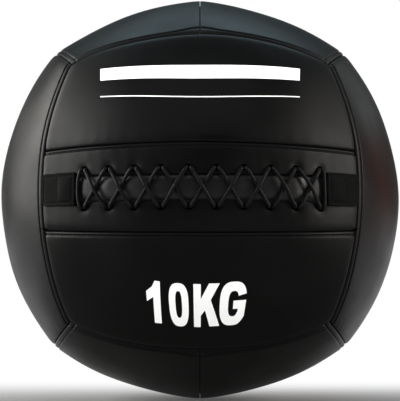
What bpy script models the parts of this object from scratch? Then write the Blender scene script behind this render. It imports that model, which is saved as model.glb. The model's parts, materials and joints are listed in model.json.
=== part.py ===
"""Wall ball of 350 mm: a leather shell of fourteen sewn panels, laced at the front, round a filled core.

Frame: metres, +Z up, the laced face looks along -Y. The ball stands on the small flat that its own
weight presses into it, and the origin is the middle of that flat.

Every place on the shell is given by a face of a cube blown up to a ball, by a share along the face's
long seams, by a share across them, and by a depth below the leather's outer surface. Both shares run
from -1 to 1, and a share of 1 is 45 degrees at the ball's centre.
"""
import math

import bmesh
import bpy
import numpy as np
from mathutils import Vector

MM = 0.001

# Ball
BALL_RADIUS = 175 * MM
EDGE_RISE = 5.6 * MM
CORNER_RISE = 8.8 * MM
PANEL_DIP = 3.1 * MM
SIDE_PANEL_DIP = 1.2 * MM
REST_FLAT_DEPTH = 2.3 * MM
CLEARANCE = 0.3 * MM

# Leather and its seams
LEATHER_THICKNESS = 1.4 * MM
SEAM_SHOULDER = 1.6 * MM
SEAM_ALLOWANCE = 4 * MM

# Front strips and the laced slit
STRIP_HALF_HEIGHT = 35.4 * MM
STRIP_END_DROP = 3.2 * MM
SLIT_HALF_HEIGHT = 10 * MM
HEM_RADIUS = 1.5 * MM
HEM_DEPTH = 1.8 * MM

# Lace and its holes
LACE_DIAMETER = 2.8 * MM
HOLE_PAIRS = 10
HOLE_GAP_LEFT = 5.5 * MM
HOLE_GAP_RIGHT = 3.8 * MM
HOLE_HEIGHT = 15.6 * MM
HOLE_WIDTH = 7 * MM
HOLE_TALLNESS = 5 * MM
LACE_TAIL = 9 * MM
LEFT_BAR_BOW = 2.2 * MM
RIGHT_BAR_BOW = 0.3 * MM

# Tongue and hole backing behind the flaps
TONGUE_HALF_HEIGHT = 11.6 * MM
TONGUE_THICKNESS = 1.4 * MM
TONGUE_BULGE = 0.9 * MM
TONGUE_END_GAP = 7 * MM
BACKING_HEIGHT = 11 * MM
BACKING_THICKNESS = 1 * MM
BACKING_OVERHANG = 7 * MM

# Webbing tabs over the ends of the slit
TAB_HEIGHT = 26 * MM
TAB_LENGTH_LEFT = 36.6 * MM
TAB_LENGTH_RIGHT = 34.4 * MM
TAB_THICKNESS = 1.8 * MM
TAB_FOLD_LENGTH = 18 * MM
TAB_SEAM_GAP = 2.2 * MM
TAB_CORNER = 3 * MM

# Padding, liner and fill
PAD_THICKNESS = 8 * MM
PAD_EDGE_GAP = 0.8 * MM
PAD_BACKING_GAP = 2 * MM
LINER_THICKNESS = 0.8 * MM
LINER_MOUTH_HALF_HEIGHT = 8 * MM
LINER_MOUTH_LENGTH = 200 * MM
CORE_BAG_RADIUS = 72 * MM
CORE_BAG_THICKNESS = 1 * MM
CORE_NECK_RADIUS = 12 * MM
CORE_NECK_HEIGHT = 20 * MM
CORE_TIE_RADIUS = 2 * MM

# Cutters reach this far past what they cut
OVERRUN = 5 * MM

QUARTER = math.pi / 4
FACE_ARC = BALL_RADIUS * QUARTER
CENTRE_HEIGHT = BALL_RADIUS - REST_FLAT_DEPTH

# The row of holes runs from one tab's inner end to the other's, less a gap at each end
FIRST_HOLE = HOLE_GAP_LEFT + TAB_LENGTH_LEFT - FACE_ARC
LAST_HOLE = FACE_ARC - TAB_LENGTH_RIGHT - HOLE_GAP_RIGHT
HOLE_PITCH = (LAST_HOLE - FIRST_HOLE) / (HOLE_PAIRS - 1)

BACKING_START = TONGUE_HALF_HEIGHT + CLEARANCE
LACE_CHANNEL_HALF_HEIGHT = BACKING_START + BACKING_HEIGHT + PAD_BACKING_GAP
PAD_DEPTH = SEAM_ALLOWANCE + CLEARANCE
LINER_DEPTH = PAD_DEPTH + PAD_THICKNESS + CLEARANCE
FILL_DEPTH = LINER_DEPTH + LINER_THICKNESS + CLEARANCE
UNDER_FLAP_DEPTH = HEM_DEPTH + CLEARANCE

# Faces: outward axis, axis along the seams, axis across them
FACES = {
    "front": ((0, -1, 0), (1, 0, 0), (0, 0, 1)),
    "back": ((0, 1, 0), (-1, 0, 0), (0, 0, 1)),
    "left": ((-1, 0, 0), (0, 0, 1), (0, 1, 0)),
    "right": ((1, 0, 0), (0, 0, 1), (0, -1, 0)),
    "top": ((0, 0, 1), (0, 1, 0), (-1, 0, 0)),
    "bottom": ((0, 0, -1), (0, 1, 0), (1, 0, 0)),
}
FACE_DIPS = {"left": SIDE_PANEL_DIP, "right": SIDE_PANEL_DIP}

# Cells of the panel grids
ALONG_CELLS = 8
CROSS_CELLS = 4
STRIP_CELLS = 3
FLAP_CELLS = 2
FLAP_ALONG_CELLS = 16
BODY_CELLS = 8
HOLE_SIDES = 10
BAG_SIDES = 16
BAG_STEPS = 9
TIE_SIDES = 6


def clear_scene():
    """Remove the objects of the start-up scene."""
    for item in list(bpy.data.objects):
        bpy.data.objects.remove(item)


def new_collection(name):
    """A collection linked to the scene."""
    group = bpy.data.collections.new(name)
    bpy.context.scene.collection.children.link(group)
    return group


def material(name, colour, roughness, metallic=0.0):
    """A Principled material with one plain colour."""
    made = bpy.data.materials.new(name)
    made.use_nodes = True
    shader = made.node_tree.nodes["Principled BSDF"]
    shader.inputs["Base Color"].default_value = (*colour, 1.0)
    shader.inputs["Roughness"].default_value = roughness
    shader.inputs["Metallic"].default_value = metallic
    made.diffuse_color = (*colour, 1.0)
    return made


def height_share(height, along):
    """Share across the front face at which the leather lies at this height above the ball's middle."""
    slope = math.tan(along * QUARTER)
    radius = BALL_RADIUS + EDGE_RISE * along ** 2
    tangent = height * math.sqrt(1 + slope ** 2) / math.sqrt(radius ** 2 - height ** 2)
    return math.atan(tangent) / QUARTER


def strip_share(along):
    """Share across the front face of the seam above the lacing strip."""
    return height_share(STRIP_HALF_HEIGHT - STRIP_END_DROP * along ** 2, along)


def slit_share(along):
    """Share across the front face of the slit's upper edge."""
    return height_share(SLIT_HALF_HEIGHT, along)


def whole_seams(along):
    """Seams across a face of two half panels."""
    return [-1.0, 0.0, 1.0]


def strip_seams(along):
    """Seams across the front face."""
    return [-1.0, -strip_share(along), strip_share(along), 1.0]


def leather_radius(face, along, across):
    """Distance from the ball's centre to the leather: round, raised along the seams between faces."""
    rise = EDGE_RISE * (along ** 2 + across ** 2)
    rise += (CORNER_RISE - 2 * EDGE_RISE) * along ** 2 * across ** 2
    seams = strip_seams(along) if face == "front" else whole_seams(along)
    dip = 0.0
    for low, high in zip(seams, seams[1:]):
        if low < across < high:
            dip = 4 * FACE_DIPS.get(face, PANEL_DIP) * (across - low) * (high - across)
    return BALL_RADIUS + rise - dip * (1 - along ** 4)


def place(face, along, across, depth):
    """World position of a point of the shell, pressed flat where it would go below the floor."""
    outward, lengthwise, crosswise = FACES[face]
    slope_along = math.tan(along * QUARTER)
    slope_across = math.tan(across * QUARTER)
    reach = leather_radius(face, along, across) - depth
    reach /= math.sqrt(1 + slope_along ** 2 + slope_across ** 2)
    point = []
    for index in range(3):
        direction = outward[index] + slope_along * lengthwise[index] + slope_across * crosswise[index]
        point.append(reach * direction)
    point[2] = max(point[2] + CENTRE_HEIGHT, 0.0)
    return point


def seam_step(distance, share, other):
    """Change of the share at a seam that moves this distance from it, where the other share is given."""
    line = share * QUARTER
    slope = math.tan(other * QUARTER)
    stretch = math.sqrt(math.cos(line) ** 2 * (1 + slope ** 2) + math.sin(line) ** 2)
    return distance / FACE_ARC * stretch


def rolled_edge():
    """Distance from the seam and depth of the rows of a turned-in edge, from its hidden lip outwards."""
    start = CLEARANCE / 2
    rows = [(start, SEAM_ALLOWANCE)]
    for turn in (0, 2 * QUARTER):
        rows.append((start + SEAM_SHOULDER * (1 - math.cos(turn)), SEAM_SHOULDER * (1 - math.sin(turn))))
    return rows


def hemmed_edge():
    """Rows of the slit's thin rounded edge."""
    rows = [(0.0, HEM_DEPTH)]
    for turn in (0, QUARTER, 2 * QUARTER):
        rows.append((HEM_RADIUS * (1 - math.cos(turn)), HEM_RADIUS * (1 - math.sin(turn))))
    return rows


def lines_between(near_rows, far_rows, shares):
    """Grid lines from one edge to the other: edge row and the side it belongs to, or a plain share."""
    lines = [("near", distance, depth) for distance, depth in near_rows]
    lines += [("inner", share, 0.0) for share in shares]
    lines += [("far", distance, depth) for distance, depth in reversed(far_rows)]
    return lines


def even_shares(count):
    """Shares that cut a width in this many equal cells."""
    return [(index + 1) / count for index in range(count - 1)]


def spread(low, high, count):
    """Evenly spaced values from low to high."""
    return [low + (high - low) * index / (count - 1) for index in range(count)]


def flap_lines(low, high):
    """Shares along the front face of the flaps' grid lines between two ends, and the ends."""
    lines = spread(-1.0, 1.0, FLAP_ALONG_CELLS + 1)
    return [low] + [line for line in lines if low < line < high] + [high]


def grid_mesh(columns, rows, locate):
    """Open grid of columns by rows points, each set by locate(column, row), doubles merged."""
    bm = bmesh.new()
    bmesh.ops.create_grid(bm, x_segments=columns - 1, y_segments=rows - 1, size=1.0)
    for vertex in bm.verts:
        column = round((vertex.co.x + 1) / 2 * (columns - 1))
        row = round((vertex.co.y + 1) / 2 * (rows - 1))
        vertex.co = locate(column, row)
    bmesh.ops.remove_doubles(bm, verts=bm.verts, dist=CLEARANCE / 100)
    bmesh.ops.dissolve_degenerate(bm, edges=bm.edges, dist=CLEARANCE / 100)
    return bm


def add_object(name, bm, group, finish, smooth_angle=math.radians(35)):
    """Turn a bmesh into a smooth-shaded object of a collection."""
    mesh = bpy.data.meshes.new(name)
    bm.to_mesh(mesh)
    bm.free()
    mesh.shade_smooth()
    mesh.set_sharp_from_angle(angle=smooth_angle)
    made = bpy.data.objects.new(name, mesh)
    group.objects.link(made)
    if finish is not None:
        made.data.materials.append(finish)
    return made


def add_wall(made, thickness):
    """Give an open surface its wall, inwards."""
    wall = made.modifiers.new("Wall", "SOLIDIFY")
    wall.thickness = thickness
    wall.offset = -1
    wall.use_even_offset = True
    return wall


def add_cut(made, cutter, operation="DIFFERENCE"):
    """Boolean with a hidden cutter."""
    cut = made.modifiers.new("Cut", "BOOLEAN")
    cut.operation = operation
    cut.object = cutter
    cut.solver = "EXACT"
    return cut


def hide_cutter(cutter):
    """Keep a cutter out of the render."""
    cutter.hide_render = True
    cutter.display_type = "WIRE"
    return cutter


def panel_mesh(face, low_seam, high_seam, low_rows, high_rows, along_shares, across_shares):
    """Leather panel between two seams of a face, its edges turned in."""
    columns = lines_between(rolled_edge(), rolled_edge(), along_shares)
    rows = lines_between(low_rows, high_rows, across_shares)

    def locate(column, row):
        along_kind, along_value, along_depth = columns[column]
        across_kind, across_value, across_depth = rows[row]
        along = 2 * along_value - 1
        if along_kind == "near":
            along = -1.0
        elif along_kind == "far":
            along = 1.0
        low = low_seam(along)
        high = high_seam(along)
        across = low + (high - low) * across_value
        if across_kind == "near":
            across = low + seam_step(across_value, low, along)
        elif across_kind == "far":
            across = high - seam_step(across_value, high, along)
        if along_kind == "near":
            along += seam_step(along_value, 1.0, across)
        elif along_kind == "far":
            along -= seam_step(along_value, 1.0, across)
        return place(face, along, across, max(along_depth, across_depth))

    return grid_mesh(len(columns), len(rows), locate)


def slab_mesh(face, along_values, across_at, row_count, outer_depth, inner_depth):
    """Closed slab in the shell: a grid extruded from its outer to its inner depth."""
    bm = bmesh.new()
    columns = len(along_values)
    bmesh.ops.create_grid(bm, x_segments=columns - 1, y_segments=row_count - 1, size=1.0)
    copied = bmesh.ops.extrude_face_region(bm, geom=bm.faces[:], use_keep_orig=True)
    inner = {item for item in copied["geom"] if isinstance(item, bmesh.types.BMVert)}
    for vertex in bm.verts:
        column = round((vertex.co.x + 1) / 2 * (columns - 1))
        row = round((vertex.co.y + 1) / 2 * (row_count - 1))
        along = along_values[column]
        across = across_at(along, row)
        depth = inner_depth if vertex in inner else outer_depth
        vertex.co = place(face, along, across, depth(along, across))
    bmesh.ops.recalc_face_normals(bm, faces=bm.faces)
    return bm


def make_panels(group, leather):
    """The fourteen leather panels; the bottom ones get more lines round the flat they stand on."""
    seam_slope = 4 * PANEL_DIP / FACE_ARC
    flat_length = math.sqrt(2 * BALL_RADIUS * REST_FLAT_DEPTH)
    flat_width = BALL_RADIUS * (math.sqrt(seam_slope ** 2 + 2 * REST_FLAT_DEPTH / BALL_RADIUS) - seam_slope)
    flat_shares = [0.5 + side * share * flat_length / FACE_ARC / 2
                   for side in (-1, 1) for share in (0.5, 0.9)]
    width_shares = [share * flat_width / FACE_ARC for share in (0.45, 1.0)]
    halves = {
        "back": ("back_lower_panel", "back_upper_panel"),
        "left": ("left_front_panel", "left_back_panel"),
        "right": ("right_back_panel", "right_front_panel"),
        "top": ("top_right_panel", "top_left_panel"),
        "bottom": ("bottom_left_panel", "bottom_right_panel"),
    }
    made = {}
    for face, names in halves.items():
        for index, name in enumerate(names):
            low, high = whole_seams(0)[index:index + 2]
            along_shares = even_shares(ALONG_CELLS)
            across_shares = even_shares(CROSS_CELLS)
            if face == "bottom":
                along_shares = sorted(along_shares + flat_shares)
                near = [1 - share for share in width_shares] if index == 0 else width_shares
                across_shares = sorted(across_shares + near)
            mesh = panel_mesh(face, lambda along, low=low: low, lambda along, high=high: high,
                              rolled_edge(), rolled_edge(), along_shares, across_shares)
            made[name] = add_object(name, mesh, group, leather)
    strips = [
        ("front_lower_panel", lambda along: -1.0, lambda along: -strip_share(along),
         rolled_edge(), rolled_edge(), ALONG_CELLS, STRIP_CELLS),
        ("lacing_flap_lower", lambda along: -strip_share(along), lambda along: -slit_share(along),
         rolled_edge(), hemmed_edge(), FLAP_ALONG_CELLS, FLAP_CELLS),
        ("lacing_flap_upper", slit_share, strip_share,
         hemmed_edge(), rolled_edge(), FLAP_ALONG_CELLS, FLAP_CELLS),
        ("front_upper_panel", strip_share, lambda along: 1.0,
         rolled_edge(), rolled_edge(), ALONG_CELLS, STRIP_CELLS),
    ]
    for name, low, high, low_rows, high_rows, cells_along, cells_across in strips:
        mesh = panel_mesh("front", low, high, low_rows, high_rows,
                          even_shares(cells_along), even_shares(cells_across))
        made[name] = add_object(name, mesh, group, leather)
    for panel in made.values():
        add_wall(panel, LEATHER_THICKNESS)
    return made


def hole_share(pair):
    """Share along the front face of a pair of lace holes, counted from the left."""
    return (FIRST_HOLE + pair * HOLE_PITCH) / FACE_ARC


def lacing_frame(along, height):
    """Point on the leather of the lacing strip, outward direction and the directions along and up."""
    across = height_share(height, along)
    step = CLEARANCE / FACE_ARC
    point = Vector(place("front", along, across, 0.0))
    right = Vector(place("front", along + step, across, 0.0)) - point
    up = Vector(place("front", along, across + step, 0.0)) - point
    right.normalize()
    outward = right.cross(up).normalized()
    up = outward.cross(right)
    return point, right, up, outward


def make_hole_cutter(group, side, name):
    """Ten oval punches through a flap and its backing, joined in one hidden cutter."""
    bm = bmesh.new()
    reach = LEATHER_THICKNESS + BACKING_THICKNESS + OVERRUN
    for pair in range(HOLE_PAIRS):
        point, right, up, outward = lacing_frame(hole_share(pair), side * HOLE_HEIGHT)
        punch = bmesh.ops.create_cone(bm, cap_ends=True, segments=HOLE_SIDES, radius1=0.5, radius2=0.5,
                                      depth=2 * reach)
        for vertex in punch["verts"]:
            local = vertex.co.copy()
            vertex.co = (point + right * local.x * HOLE_WIDTH + up * local.y * HOLE_TALLNESS
                         + outward * local.z)
    return hide_cutter(add_object(name, bm, group, None))


def make_tongue(group, finish):
    """Strip behind the slit, pressed out a little between the flaps."""
    end = 1 - TONGUE_END_GAP / FACE_ARC
    heights = [-TONGUE_HALF_HEIGHT] + spread(-SLIT_HALF_HEIGHT, SLIT_HALF_HEIGHT, 5) + [TONGUE_HALF_HEIGHT]

    def across_at(along, row):
        return height_share(heights[row], along)

    def outer(along, across):
        share = min(1.0, abs(across) / slit_share(along))
        return UNDER_FLAP_DEPTH - TONGUE_BULGE * (1 - share ** 2)

    def inner(along, across):
        return outer(along, across) + TONGUE_THICKNESS

    mesh = slab_mesh("front", flap_lines(-end, end), across_at, len(heights), outer, inner)
    return add_object("lacing_tongue", mesh, group, finish)


def make_backing(group, finish, side, name):
    """Strip that stiffens a row of lace holes from behind."""
    first = hole_share(0) - BACKING_OVERHANG / FACE_ARC
    last = hole_share(HOLE_PAIRS - 1) + BACKING_OVERHANG / FACE_ARC
    heights = spread(BACKING_START, BACKING_START + BACKING_HEIGHT, 3)
    if side < 0:
        heights = [-height for height in reversed(heights)]

    def across_at(along, row):
        return height_share(heights[row], along)

    mesh = slab_mesh("front", flap_lines(first, last), across_at, len(heights),
                     lambda along, across: UNDER_FLAP_DEPTH,
                     lambda along, across: UNDER_FLAP_DEPTH + BACKING_THICKNESS)
    return add_object(name, mesh, group, finish)


def make_tab(group, finish, side, length, name):
    """Webbing tab from the side seam over the end of the slit, folded double at its inner end."""
    outer_end = 1 - TAB_SEAM_GAP / FACE_ARC
    inner_end = 1 - length / FACE_ARC
    fold_end = inner_end + TAB_FOLD_LENGTH / FACE_ARC
    step_end = fold_end + TAB_THICKNESS / FACE_ARC
    shares = [inner_end, inner_end + TAB_CORNER / FACE_ARC, fold_end, step_end,
              (step_end + outer_end) / 2, outer_end - TAB_CORNER / FACE_ARC, outer_end]
    along_values = [side * share for share in shares]
    if side < 0:
        along_values.reverse()
    half = TAB_HEIGHT / 2
    heights = [-half, TAB_CORNER - half, -SLIT_HALF_HEIGHT, 0.0, SLIT_HALF_HEIGHT, half - TAB_CORNER, half]

    def across_at(along, row):
        return height_share(heights[row], along)

    def outer(along, across):
        share = abs(along)
        if share <= fold_end:
            return -CLEARANCE - 2 * TAB_THICKNESS
        return -CLEARANCE - TAB_THICKNESS

    def inner(along, across):
        return -CLEARANCE

    mesh = slab_mesh("front", along_values, across_at, len(heights), outer, inner)
    return add_object(name, mesh, group, finish)


def make_pads(group, foam):
    """Foam behind each face, the front one parted by the channel of the lacing."""
    edge = 1 - PAD_EDGE_GAP / FACE_ARC
    wide = spread(-edge, edge, ALONG_CELLS + 1)

    def outer(along, across):
        return PAD_DEPTH

    def inner(along, across):
        return PAD_DEPTH + PAD_THICKNESS

    for face in FACES:
        if face == "front":
            continue
        mesh = slab_mesh(face, wide, lambda along, row: wide[row], len(wide), outer, inner)
        add_object(f"{face}_foam_pad", mesh, group, foam)
    for side, name in ((1, "front_upper_foam_pad"), (-1, "front_lower_foam_pad")):
        def across_at(along, row, side=side):
            start = height_share(LACE_CHANNEL_HALF_HEIGHT, along)
            clear = start + CLEARANCE / FACE_ARC
            values = [start] + [max(share, clear) for share in even_shares(CROSS_CELLS)] + [edge]
            return values[row] if side > 0 else -values[CROSS_CELLS - row]

        mesh = slab_mesh("front", wide, across_at, CROSS_CELLS + 1, outer, inner)
        add_object(name, mesh, group, foam)


def body_mesh(depth):
    """Closed surface that follows the leather at a depth: six face grids sewn together."""
    bm = bmesh.new()
    shares = spread(-1.0, 1.0, BODY_CELLS + 1)
    for face in FACES:
        grid = bmesh.ops.create_grid(bm, x_segments=BODY_CELLS, y_segments=BODY_CELLS, size=1.0)
        for vertex in grid["verts"]:
            column = round((vertex.co.x + 1) / 2 * BODY_CELLS)
            row = round((vertex.co.y + 1) / 2 * BODY_CELLS)
            vertex.co = place(face, shares[column], shares[row], depth)
    bmesh.ops.remove_doubles(bm, verts=bm.verts, dist=CLEARANCE / 10)
    bmesh.ops.recalc_face_normals(bm, faces=bm.faces)
    return bm


def make_liner(group, cutters, cloth):
    """Bag that holds the fill, with its mouth behind the slit."""
    liner = add_object("liner_bag", body_mesh(LINER_DEPTH), group, cloth)
    add_wall(liner, LINER_THICKNESS)
    bm = bmesh.new()
    bmesh.ops.create_cube(bm, size=1.0)
    size = Vector((LINER_MOUTH_LENGTH, BALL_RADIUS, 2 * LINER_MOUTH_HALF_HEIGHT))
    for vertex in bm.verts:
        vertex.co = Vector([part * whole for part, whole in zip(vertex.co, size)])
        vertex.co += Vector((0, -BALL_RADIUS, CENTRE_HEIGHT))
    mouth = hide_cutter(add_object("mouth_cutter", bm, cutters, None))
    add_cut(liner, mouth)
    return liner


def bag_profile(radius, neck_radius, neck_top):
    """Outline of the core bag at any offset: down its neck and round to its lowest point."""
    start = math.asin(CORE_NECK_RADIUS / CORE_BAG_RADIUS)
    profile = [(neck_radius, neck_top), (neck_radius, math.sqrt(radius ** 2 - neck_radius ** 2))]
    for index in range(1, BAG_STEPS):
        turn = start + (math.pi - start) * index / BAG_STEPS
        profile.append((radius * math.sin(turn), radius * math.cos(turn)))
    return profile + [(0.0, -radius)]


def turned_object(name, profile, group, finish):
    """Profile turned about the ball's upright axis."""
    bm = bmesh.new()
    line = [bm.verts.new((across, 0, height)) for across, height in profile]
    for first, second in zip(line, line[1:]):
        bm.edges.new((first, second))
    made = add_object(name, bm, group, finish)
    made.location.z = CENTRE_HEIGHT
    turned = made.modifiers.new("Turn", "SCREW")
    turned.steps = BAG_SIDES
    turned.render_steps = BAG_SIDES
    turned.use_merge_vertices = True
    turned.merge_threshold = CLEARANCE / 10
    return made


def make_core(group, cutters, cloth, grain, cord):
    """Core bag with a tied neck, full of heavy grain, and the cutter of its pocket."""
    neck_top = CORE_BAG_RADIUS + CORE_NECK_HEIGHT
    bag = turned_object("core_bag", bag_profile(CORE_BAG_RADIUS, CORE_NECK_RADIUS, neck_top), group, cloth)
    add_wall(bag, CORE_BAG_THICKNESS)

    grain_radius = CORE_BAG_RADIUS - CORE_BAG_THICKNESS - CLEARANCE
    grain_neck = CORE_NECK_RADIUS - CORE_BAG_THICKNESS - CLEARANCE
    grain_top = grain_radius * math.cos(math.asin(grain_neck / grain_radius))
    profile = bag_profile(grain_radius, grain_neck, grain_top)
    profile[0] = (0.0, grain_top)
    turned_object("core_grain_fill", profile, group, grain)

    bpy.ops.mesh.primitive_torus_add(
        major_segments=BAG_SIDES, minor_segments=TIE_SIDES,
        major_radius=CORE_NECK_RADIUS + CLEARANCE + CORE_TIE_RADIUS, minor_radius=CORE_TIE_RADIUS,
        location=(0, 0, CENTRE_HEIGHT + CORE_BAG_RADIUS + CORE_NECK_HEIGHT / 2))
    tie = bpy.context.object
    tie.name = "core_bag_tie"
    tie.data.materials.append(cord)
    tie.users_collection[0].objects.unlink(tie)
    group.objects.link(tie)

    room = CORE_NECK_RADIUS + 2 * CORE_TIE_RADIUS + 2 * CLEARANCE
    profile = bag_profile(CORE_BAG_RADIUS + CLEARANCE, room, neck_top + CLEARANCE)
    profile.insert(0, (0.0, neck_top + CLEARANCE))
    return hide_cutter(turned_object("core_pocket_cutter", profile, cutters, None))


def make_fill(group, textile, pocket):
    """Textile fill in a front and a back half, with the pocket of the core between them."""
    for side, name in ((-1, "textile_fill_front"), (1, "textile_fill_back")):
        bm = body_mesh(FILL_DEPTH)
        cut = bmesh.ops.bisect_plane(bm, geom=bm.verts[:] + bm.edges[:] + bm.faces[:], dist=CLEARANCE / 100,
                                     plane_co=(0, side * CLEARANCE / 2, 0), plane_no=(0, -side, 0),
                                     clear_outer=True)
        rim = [item for item in cut["geom_cut"] if isinstance(item, bmesh.types.BMEdge)]
        bmesh.ops.edgeloop_fill(bm, edges=rim)
        bmesh.ops.recalc_face_normals(bm, faces=bm.faces)
        half = add_object(name, bm, group, textile)
        add_cut(half, pocket)


def lace_route():
    """Middle line of the lace, from its tail inside at the right end, to the left end and back.

    A strand leaves a hole, crosses the slit to the next pair's other row, goes in there and runs back
    across behind the tongue. The two strands mirror each other, and at the left end they are one piece.
    """
    radius = LACE_DIAMETER / 2
    beside = radius + 0.75 * CLEARANCE
    over_leather = radius + CLEARANCE
    behind = UNDER_FLAP_DEPTH + TONGUE_THICKNESS + CLEARANCE + radius
    lift_low = over_leather - HEM_RADIUS / 2
    lift_high = lift_low + LACE_DIAMETER + 1.5 * CLEARANCE
    sink_low = behind + LACE_DIAMETER + 1.5 * CLEARANCE
    lip = HOLE_TALLNESS / 2

    def spot(pair, shift, height, lift):
        along = hole_share(pair) + shift / FACE_ARC
        point, right, up, outward = lacing_frame(along, height)
        return point + outward * lift

    def outer_run(pair, row, next_pair, lift):
        """From a hole of one row to the next pair's hole in the other row, over the slit."""
        run = (next_pair - pair) * HOLE_PITCH
        start = beside if run > 0 else -beside
        if run == 0:
            start = 0.0
        high = HOLE_HEIGHT * row
        inward = -row
        points = [
            spot(pair, start, high + inward * CLEARANCE, -UNDER_FLAP_DEPTH),
            spot(pair, start * 1.05, high + inward * CLEARANCE, 0.0),
            spot(pair, start * 1.3, high + inward * radius, over_leather * 0.95),
            spot(pair, start + run * 0.1, high + inward * (lip + radius), over_leather * 1.2),
        ]
        side = [
            spot(next_pair, -start - run * 0.1, -high - inward * (lip + radius), over_leather * 1.2),
            spot(next_pair, -start * 1.3, -high - inward * radius, over_leather * 0.95),
            spot(next_pair, -start * 1.05, -high - inward * CLEARANCE, 0.0),
            spot(next_pair, -start, -high - inward * CLEARANCE, -UNDER_FLAP_DEPTH),
        ]
        middle = (pair + next_pair) / 2
        return points + [spot(middle, 0.0, 0.0, lift)] + side

    def inner_run(pair, row, start, end, sink):
        """Behind the tongue, from a hole to the other row's hole of the same pair."""
        high = HOLE_HEIGHT * row
        return [
            spot(pair, start, high * 0.97, -0.95 * behind),
            spot(pair, start, high * 0.7, -sink),
            spot(pair, end, -high * 0.7, -sink),
            spot(pair, end, -high * 0.97, -0.95 * behind),
        ]

    def strand(row, rises):
        """Points of one strand from the left end to the right, starting outside at its first hole."""
        points = []
        for pair in range(HOLE_PAIRS - 1):
            sink = behind if row > 0 else sink_low
            start = -beside
            points += inner_run(pair, row, start, beside, sink)
            points += outer_run(pair, -row, pair + 1, rises[pair])
        return points

    tops = [row > 0 for row in (1, 1, 1, -1, 1, -1, -1, 1, 1)]
    falling = strand(-1, [lift_high if top else lift_low for top in tops])
    rising = strand(1, [lift_low if top else lift_high for top in tops])
    bar_lift = over_leather * 1.2

    def end_bar(pair, row, shift, bow):
        high = HOLE_HEIGHT * row
        return [
            spot(pair, shift, high - row * CLEARANCE, -UNDER_FLAP_DEPTH),
            spot(pair, shift, high - row * CLEARANCE, 0.0),
            spot(pair, shift + bow * 0.15, high - row * radius, over_leather * 0.9),
            spot(pair, shift + bow * 0.6, high - row * (lip + 2 * radius), bar_lift),
            spot(pair, shift + bow, 0.0, bar_lift),
            spot(pair, shift + bow * 0.6, -high + row * (lip + 2 * radius), bar_lift),
            spot(pair, shift + bow * 0.15, -high + row * radius, over_leather * 0.9),
            spot(pair, shift, -high + row * CLEARANCE, 0.0),
            spot(pair, shift, -high + row * CLEARANCE, -UNDER_FLAP_DEPTH),
        ]

    last = HOLE_PAIRS - 1
    def tail(row, side):
        high = HOLE_HEIGHT * row
        return [
            spot(last, side * beside, high * 0.97, -0.95 * behind),
            spot(last, side * (beside + LACE_TAIL / 3), high - row * LACE_TAIL / 2, -sink_low),
        ]

    return (list(reversed(tail(-1, -1))) + list(reversed(falling)) + end_bar(0, -1, -beside, -LEFT_BAR_BOW)
            + rising + inner_run(last, 1, -beside, beside, behind)
            + end_bar(last, -1, beside, RIGHT_BAR_BOW) + tail(1, 1))


def smooth_route(points, spacing):
    """Points about this far apart on the smooth curve through the route's own points."""
    chords = [(end - start).length for start, end in zip(points, points[1:])]

    def heading(index):
        """Direction of the curve at a point: its two chords, the shorter one counting more."""
        if index == 0:
            return (points[1] - points[0]) / chords[0]
        if index == len(chords):
            return (points[-1] - points[-2]) / chords[-1]
        before = (points[index] - points[index - 1]) / chords[index - 1]
        after = (points[index + 1] - points[index]) / chords[index]
        return (before * chords[index] + after * chords[index - 1]) / (chords[index - 1] + chords[index])

    smooth = [points[0]]
    for index, chord in enumerate(chords):
        start = points[index]
        end = points[index + 1]
        leave = heading(index) * chord
        arrive = heading(index + 1) * chord
        pieces = max(1, int(chord / spacing))
        for piece in range(1, pieces + 1):
            share = piece / pieces
            smooth.append(start + leave * share
                          + (3 * (end - start) - 2 * leave - arrive) * share ** 2
                          + (2 * (start - end) + leave + arrive) * share ** 3)
    return smooth


def make_lace(group, cord):
    """The lace as one round cord."""
    points = smooth_route(lace_route(), 3 * LACE_DIAMETER)
    curve = bpy.data.curves.new("lace", "CURVE")
    curve.dimensions = "3D"
    curve.bevel_depth = LACE_DIAMETER / 2
    curve.bevel_resolution = 1
    curve.use_fill_caps = True
    spline = curve.splines.new("POLY")
    spline.points.add(len(points) - 1)
    for target, point in zip(spline.points, points):
        target.co = (*point, 1.0)
    lace = bpy.data.objects.new("lace", curve)
    lace.data.materials.append(cord)
    group.objects.link(lace)
    length = sum((second - first).length for first, second in zip(points, points[1:]))
    print(f"lace: {len(points)} points, length {length:.3f} m, least gap to itself"
          f" {least_gap(points, LACE_DIAMETER):.5f} m")
    return lace


def least_gap(points, diameter):
    """Smallest clear distance between stretches of a cord that aren't neighbours along it."""
    fine = np.array([tuple(point) for point in smooth_route(points, diameter / 4)])
    steps = np.linalg.norm(np.diff(fine, axis=0), axis=1)
    travelled = np.concatenate([[0.0], np.cumsum(steps)])
    least = math.inf
    for index in range(len(fine)):
        far = travelled > travelled[index] + 3 * diameter
        if far.any():
            least = min(least, float(np.linalg.norm(fine[far] - fine[index], axis=1).min()))
    return least - diameter


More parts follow.
